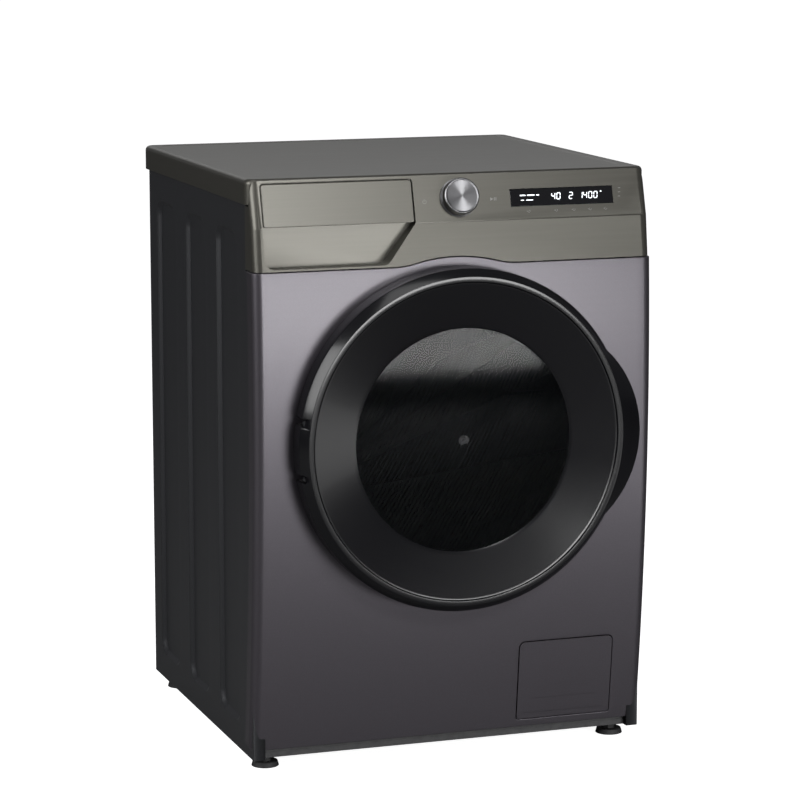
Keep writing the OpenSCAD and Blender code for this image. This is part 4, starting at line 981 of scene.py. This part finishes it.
# %% Door rim with its grip
rim_low, rim_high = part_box("door_ring")
rim_r = -rim_low.x
rim_front = rim_low.y
GRIP_HALF = 120 * MM
grip_reach = rim_high.x
grip_x = (grip_reach ** 2 - rim_r ** 2) / (2 * (grip_reach - math.sqrt(rim_r ** 2 - GRIP_HALF ** 2)))
grip_r = grip_reach - grip_x
DOOR_GAP = 4 * MM
CHAMFER, CREST, LEDGE = 10 * MM, 8 * MM, 22 * MM
SPOKES = 288


def outer_radius(angle):
    reach = grip_r ** 2 - (grip_x * math.sin(angle)) ** 2
    grip = grip_x * math.cos(angle) + math.sqrt(reach) if reach > 0 else 0
    return max(rim_r + 0.05 * MM, grip)


def rim_section(angle):
    """The rim's closed section of (radius, y) points at one angle round the door."""
    swell = outer_radius(angle)
    rear = front_y + bow(door_z + rim_r * math.sin(angle)) - DOOR_GAP
    ledge_y = front_y - LEDGE
    return soft_profile([
        (rim_r, rear, 0.6 * MM), (rim_r, ledge_y, 0.8 * MM), (swell, ledge_y, 1.5 * MM),
        (swell, rim_front + CHAMFER + 3 * MM, 2.5 * MM), (rim_r - CHAMFER, rim_front, 1.2 * MM),
        (rim_r - CHAMFER - CREST, rim_front, 1.2 * MM),
        (rim_r - CHAMFER - CREST, rim_front + 5 * MM, 0.5 * MM),
        (rim_r - CHAMFER - 2 * MM, rim_front + 7 * MM, 0.5 * MM),
        (rim_r - 3 * MM, rim_front + CHAMFER + 8 * MM, 0.5 * MM), (rim_r - 3 * MM, rear, 0.6 * MM),
    ], closed=True)


sections = [rim_section(2 * math.pi * i / SPOKES) for i in range(SPOKES)]
rim_rings = []
for k in range(len(sections[0])):
    row = []
    for i, section in enumerate(sections):
        radius, y = section[k]
        angle = 2 * math.pi * i / SPOKES
        row.append((radius * math.cos(angle), y, door_z + radius * math.sin(angle)))
    rim_rings.append(row)
rim_piece = piece("door_rim", loft(rim_rings, closed=True), "door", "door_black", ["door_ring"])
KNUCKLE_HEIGHT = 40 * MM
slot_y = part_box("hinge_leaf")[0].y - 1.5 * MM
slots = []
for side in (-1, 1):
    z = door_z + side * KNUCKLE_HEIGHT
    slots.append(cutter_box((-rim_r - 5 * MM, slot_y, z - 5 * MM),
                            (-rim_r + 51 * MM, front_y + 20 * MM, z + 5 * MM)))
cut(rim_piece, *slots)
print("door rim faces:", len(rim_piece.data.polygons))

# %% [markdown]
# ## Dished cover and window
#
# The dish carries the eye inwards from the rim. It is black and opaque; only the disc in its middle is
# smoked clear. The disc is very slightly domed, which spreads the mirrored lights as on a real lens.

# %% Dish and window
DISH_DEPTH = 18 * MM
WINDOW_GAP = 0.25 * MM
window_r = bowl_high.x - 14 * MM
edge_y, dish_y = cover_low.y, cover_low.y + DISH_DEPTH + 0.5 * MM
COVER = 3 * MM
dish_profile = soft_profile([
    (window_r + WINDOW_GAP, dish_y, 0.3 * MM), (window_r + 6 * MM, dish_y - 1.6 * MM, 5 * MM),
    (cover_r - 4 * MM, edge_y + 1.2 * MM, 5 * MM), (cover_r, edge_y, 0.8 * MM),
    (cover_r, edge_y + COVER, 0.5 * MM), (window_r + 6 * MM, dish_y + COVER - 1 * MM, 1 * MM),
    (window_r + WINDOW_GAP, dish_y + COVER, 0.3 * MM)], closed=True)
piece("door_dish", turned(dish_profile, count=192), "door", "door_black", ["door_cover"])
DOME = 3.0 * MM
window_steps = [0.05, 0.2, 0.4, 0.6, 0.8, 0.93, 0.985, 1.0]
window_front = [(window_r * t, dish_y - DOME * (1 - t * t)) for t in window_steps]
window_back = [(window_r, dish_y + COVER), (window_r * window_steps[0], dish_y + COVER - DOME)]
window_rings = [ring(radius, y, 192) for radius, y in window_front + window_back]
piece("door_window", loft(window_rings), "door", "smoked_window")
print("window radius", round(window_r / MM), "mm")

# %% [markdown]
# ## Glass bowl and rubber gasket
#
# Behind the window a glass bowl pushes into the drum and keeps the laundry in. The grey bellows round
# it joins the still cabinet to the bouncing tub; here it is built in place and rides on neither body.

# %% Bowl and gasket
bowl_r = mouth_r - 22 * MM
back_y = bowl_high.y
GLASS = 5 * MM
outer_wall = [(bowl_high.x, bowl_low.y, 1 * MM), (bowl_high.x, bowl_low.y + GLASS, 1 * MM),
              (bowl_r, bowl_low.y + GLASS, 3 * MM), (bowl_r - 4 * MM, front_y + 20 * MM, 20 * MM),
              (bowl_r * 0.78, back_y - 12 * MM, 16 * MM), (bowl_r * 0.66, back_y - 1 * MM, 12 * MM),
              (4 * MM, back_y)]
inner_wall = [(4 * MM, back_y - GLASS), (bowl_r * 0.64, back_y - GLASS - 1 * MM, 12 * MM),
              (bowl_r * 0.78 - GLASS, back_y - 15 * MM, 16 * MM),
              (bowl_r - 4 * MM - GLASS, front_y + 18 * MM, 20 * MM),
              (bowl_r - GLASS, bowl_low.y, 2 * MM)]
bowl_profile = soft_profile(outer_wall + inner_wall, closed=True, steps=5)
piece("door_bowl_glass", turned(bowl_profile, count=144), "door", "clear_glass", ["door_bowl"])


# %% Soft pieces between the cabinet and the tub
def bridge(name, shape, slot, replaced, cabinet_end, tub_end, smooth):
    """A soft piece between the cabinet and the tub, built in place on neither body; its two ends are
    not used.
    """
    obj = piece(name, shape, None, slot, replaced, smooth=smooth)
    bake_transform(obj)


gasket_r = (hole_high.x - hole_low.x) / 2
RUBBER = 2.2 * MM
fold_steps = [(gasket_r, 0), (gasket_r - 2 * MM, 6), (mouth_r - 2 * MM, 14), (mouth_r - 7 * MM, 22),
              (mouth_r + 3 * MM, 32), (mouth_r - 7 * MM, 42), (mouth_r + 2 * MM, 54)]
fold = [(radius, hole_low.y + depth * MM) for radius, depth in fold_steps]
fold += [(gasket_r - 2 * MM, hole_high.y - 10 * MM), (gasket_r - 1 * MM, hole_high.y)]
wall = [(radius, y, 4 * MM) for radius, y in fold]
back_wall = [(radius - RUBBER, y + 0.6 * MM, 4 * MM) for radius, y in reversed(fold)]
gasket_shape = turned(soft_profile(wall + back_wall, closed=True, steps=4))
bridge("door_gasket_bellows", gasket_shape, "grey_rubber", ["door_gasket"],
       (0, hole_low.y + 12 * MM, door_z), (0, hole_high.y - 12 * MM, door_z), smooth=50)

# %% Springs and hoses between the cabinet and the tub
for node_name in ("suspension_springs", "dispenser_bellows", "sump_hose"):
    low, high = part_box(node_name)
    margin = min(12 * MM, 0.1 * (high.z - low.z))
    ends = [(0, 0, high.z - margin), (0, 0, low.z + margin)]
    if node_name == "sump_hose":  # it hangs from the tub, and the others from the cabinet
        ends.reverse()
    bridge(node_name + "_piece", own_shape(node_name), slot_of[node_name], [node_name], *ends,
           smooth=40)
print("bowl, gasket, springs and bellows are in")

# %% [markdown]
# ## Program knob
#
# A knob is turned on a lathe: a thin collar, a waisted side and a flat face with a fine chamfer. Its
# brushed face shows light as two bright fans. That comes from an anisotropic shine whose direction runs
# round the axis.

# %% Knob
strip_frame = Matrix.Translation(Vector(knob_joint["pos_m"])) @ Matrix.Rotation(-LEAN, 4, "X")


def on_strip(right, up=0.0, out=0.0):
    """A frame on the upper strip, measured from the knob's middle along the strip."""
    return strip_frame @ Matrix.Translation((right, -out, up))


knob_profile = soft_profile([
    (3.0 * MM, -0.6 * MM), (27.5 * MM, -0.6 * MM, 0.4 * MM), (27.5 * MM, -2.4 * MM, 0.5 * MM),
    (25.6 * MM, -3.2 * MM, 0.6 * MM), (25.9 * MM, -16.6 * MM, 0.3 * MM),
    (24.6 * MM, -18.0 * MM, 0.3 * MM), (23.9 * MM, -18.0 * MM, 0.2 * MM), (22 * MM, -17.6 * MM, 1 * MM),
    (0.2 * MM, -17.7 * MM)])
knob_rings = [ring(radius, y, 144, centre_z=0) for radius, y in knob_profile]
piece("knob_turned", loft(knob_rings), "knob", "spun_aluminium", ["program_knob"],
      smooth=25, matrix=on_strip(0))
spun_tree = finishes["spun_aluminium"].node_tree
spin = add(spun_tree, "ShaderNodeTangent", direction_type="RADIAL", axis="Y").outputs[0]
spun_tree.links.new(spin, spun_tree.nodes["Principled BSDF"].inputs["Tangent"])
print("knob rings:", len(knob_rings))

# %% [markdown]
# ## Display and marks
#
# The digits light up behind the black window. Each is built from seven bars with pointed ends, a
# hair's breadth in front of it. The touch keys are only printed marks on the strip, so they are thin
# raised shapes too, in a grey a little lighter than the moulding.

# %% Display
SEGMENTS = {"0": "abcdef", "1": "bc", "2": "abged", "4": "fgbc"}
SLANT = 0.12


def bar(shape, x0, z0, x1, z1, width, out):
    """A flat bar with pointed ends from one point to the other, standing out by out."""
    a, b = Vector((x0, z0)), Vector((x1, z1))
    along = (b - a).normalized() * width / 2
    across = Vector((-along.y, along.x))
    outline = [a, a + along + across, b - along + across, b, b - along - across, a + along - across]
    front = [shape.verts.new((p.x + SLANT * p.y, -out, p.y)) for p in outline]
    shape.faces.new(front)


def digit(shape, name, x, z, height, width, thick, out):
    """A seven-segment digit whose lower left corner is at (x, z)."""
    half, gap = height / 2, thick * 0.15
    spots = {"a": (0, height, width, height), "g": (0, half, width, half), "d": (0, 0, width, 0),
             "f": (0, half, 0, height), "b": (width, half, width, height), "e": (0, 0, 0, half),
             "c": (width, 0, width, half)}
    for letter in SEGMENTS[name]:
        x0, z0, x1, z1 = spots[letter]
        grow = Vector((x1 - x0, z1 - z0)).normalized() * gap
        bar(shape, x + x0 + grow.x, z + z0 + grow.y, x + x1 - grow.x, z + z1 - grow.y, thick, out)


finish("lit_marks", (0.7, 0.72, 0.75), (0.8, 0.82, 0.85), 0.4, Emission_Color=(0.9, 0.95, 1, 1),
       Emission_Strength=1.6)
finish("key_print", (0.22, 0.22, 0.21), (0.26, 0.26, 0.25), 0.45)
display_low, display_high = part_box("display_window")
DISPLAY_X = (display_low.x + display_high.x) / 2 - knob_joint["pos_m"][0]
softened("display_window", 0.35 * MM)
GLOW = 0.06 * MM
figures = bmesh.new()
DIGIT = (9 * MM, 5.0 * MM, 1.1 * MM, GLOW)
for name, x in (("4", -15), ("0", -7), ("2", 12), ("1", 27), ("4", 34), ("0", 42), ("0", 50)):
    digit(figures, name, x * MM, -7 * MM, *DIGIT)
for x, width in ((-64, 9), (-53, 12), (-39, 5)):
    bar(figures, x * MM, 0, (x + width) * MM, 0, 1.6 * MM, GLOW)
for x, width in ((-62, 5), (-54, 11)):
    bar(figures, x * MM, -7 * MM, (x + width) * MM, -7 * MM, 1.1 * MM, GLOW)
bar(figures, 59 * MM, 2 * MM, 62 * MM, 2 * MM, 1.6 * MM, GLOW)
piece("display_figures", figures, "cabinet", "display_black", smooth=30,
      matrix=on_strip(DISPLAY_X, 0, -0.2 * MM), look="lit_marks")

# %% Printed marks of the touch keys
prints = bmesh.new()
PRINT = 0.05 * MM


def arc_mark(x, z, radius, start, end, width):
    """A printed arc, in degrees clockwise from the top."""
    steps = 14
    angles = [math.radians(start + (end - start) * i / steps) for i in range(steps + 1)]
    inner, outer = [[prints.verts.new((x + reach * math.sin(a), -PRINT, z + reach * math.cos(a)))
                     for a in angles] for reach in (radius - width, radius)]
    for i in range(steps):
        prints.faces.new((inner[i], inner[i + 1], outer[i + 1], outer[i]))


arc_mark(-51 * MM, -4 * MM, 3 * MM, 35, 325, 0.6 * MM)
bar(prints, -51 * MM, -4 * MM, -51 * MM, 0.2 * MM, 0.7 * MM, PRINT)
start_mark = ((48, -6), (48, -1), (52.5, -3.5))
prints.faces.new([prints.verts.new((x * MM, -PRINT, z * MM)) for x, z in start_mark])
for x in (54.5, 57):
    bar(prints, x * MM, -6 * MM, x * MM, -1 * MM, 1.0 * MM, PRINT)
for k, x in enumerate((105, 147, 174, 199, 223)):
    arc_mark(x * MM, -23 * MM, 1.9 * MM, 20 * k, 300 + 12 * k, 0.5 * MM)
    bar(prints, (x - 1) * MM, -23 * MM, (x + 1) * MM, -23 * MM, 0.5 * MM, PRINT)
for z in (-6, 0, 6):
    bar(prints, 244 * MM, z * MM, 248 * MM, z * MM, 0.8 * MM, PRINT)
bmesh.ops.recalc_face_normals(prints, faces=prints.faces)
piece("key_marks", prints, "cabinet", "olive_moulding", matrix=on_strip(0), look="key_print")
print("digits and key marks are in")

# %% [markdown]
# ## The drum
#
# A drum is rolled from perforated stainless sheet. Every cell of a grid round the drum gets a real
# eight-sided hole, and cells share their borders, so that one loop makes the whole wall. The front and
# back are turned, with a rolled lip at the mouth.


# %% Perforated drum
def perforated_wall(radius, y0, y1, columns, rows, hole):
    """A tube round the door's axis with an eight-sided hole of radius hole in each cell."""
    shape = bmesh.new()
    posts = {}
    border = ((0, 0), (1, 0), (2, 0), (2, 1), (2, 2), (1, 2), (0, 2), (0, 1))

    def spot(i, j):
        a = math.pi * i / columns
        return radius * math.cos(a), y0 + (y1 - y0) * j / (2 * rows), door_z + radius * math.sin(a)

    def post(i, j):
        key = (i % (2 * columns), j)
        if key not in posts:
            posts[key] = shape.verts.new(spot(*key))
        return posts[key]

    cell_half, cell_rise = math.pi * radius / columns, (y1 - y0) / (2 * rows)
    for i in range(columns):
        for j in range(rows):
            around = [post(2 * i + a, 2 * j + b) for a, b in border]
            rim = []
            for a, b in border:
                reach = hole / math.hypot(a - 1, b - 1)
                rim.append(shape.verts.new(spot(2 * i + 1 + (a - 1) * reach / cell_half,
                                                2 * j + 1 + (b - 1) * reach / cell_rise)))
            for k in range(8):
                n = (k + 1) % 8
                shape.faces.new((around[k], around[n], rim[n], rim[k]))
    bmesh.ops.recalc_face_normals(shape, faces=shape.faces)
    return shape


drum_low, drum_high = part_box("drum_shell")
drum_r = drum_high.z - door_z
drum_mouth = mouth_r - 10 * MM
SHELL = 0.8 * MM
wall_from, wall_to = drum_low.y + 16 * MM, drum_high.y - 14 * MM
HOLE_COLUMNS, HOLE_ROWS = 84, 18
wall = perforated_wall(drum_r - 0.2 * MM, wall_from, wall_to, HOLE_COLUMNS, HOLE_ROWS, 2.0 * MM)
drum_wall = piece("drum_wall", wall, "drum", "stainless", ["drum_shell"])
thicken(drum_wall, SHELL)
front_lip = soft_profile([
    (drum_r, wall_from, 0), (drum_r, drum_low.y + 4 * MM, 8 * MM),
    (drum_mouth + 8 * MM, drum_low.y, 6 * MM), (drum_mouth, drum_low.y + 1 * MM, 2 * MM),
    (drum_mouth + 1 * MM, drum_low.y + 6 * MM, 0)], steps=5)
front_lip += [(radius - SHELL, y + SHELL) for radius, y in reversed(front_lip)]
piece("drum_front", turned(front_lip), "drum", "stainless")
back_plate = soft_profile([
    (drum_r, wall_to, 0), (drum_r, drum_high.y - 1 * MM, 10 * MM),
    (200 * MM, drum_high.y - 1 * MM, 10 * MM), (180 * MM, drum_high.y - 8 * MM, 10 * MM),
    (90 * MM, drum_high.y - 8 * MM, 10 * MM),
    (70 * MM, drum_high.y - 2 * MM, 10 * MM), (17 * MM, drum_high.y - 2 * MM, 0)], steps=5)
back_plate += [(radius - 0.3 * MM, y - SHELL) for radius, y in reversed(back_plate)]
piece("drum_back", turned(back_plate), "drum", "stainless")
print("drum holes:", HOLE_COLUMNS * HOLE_ROWS)
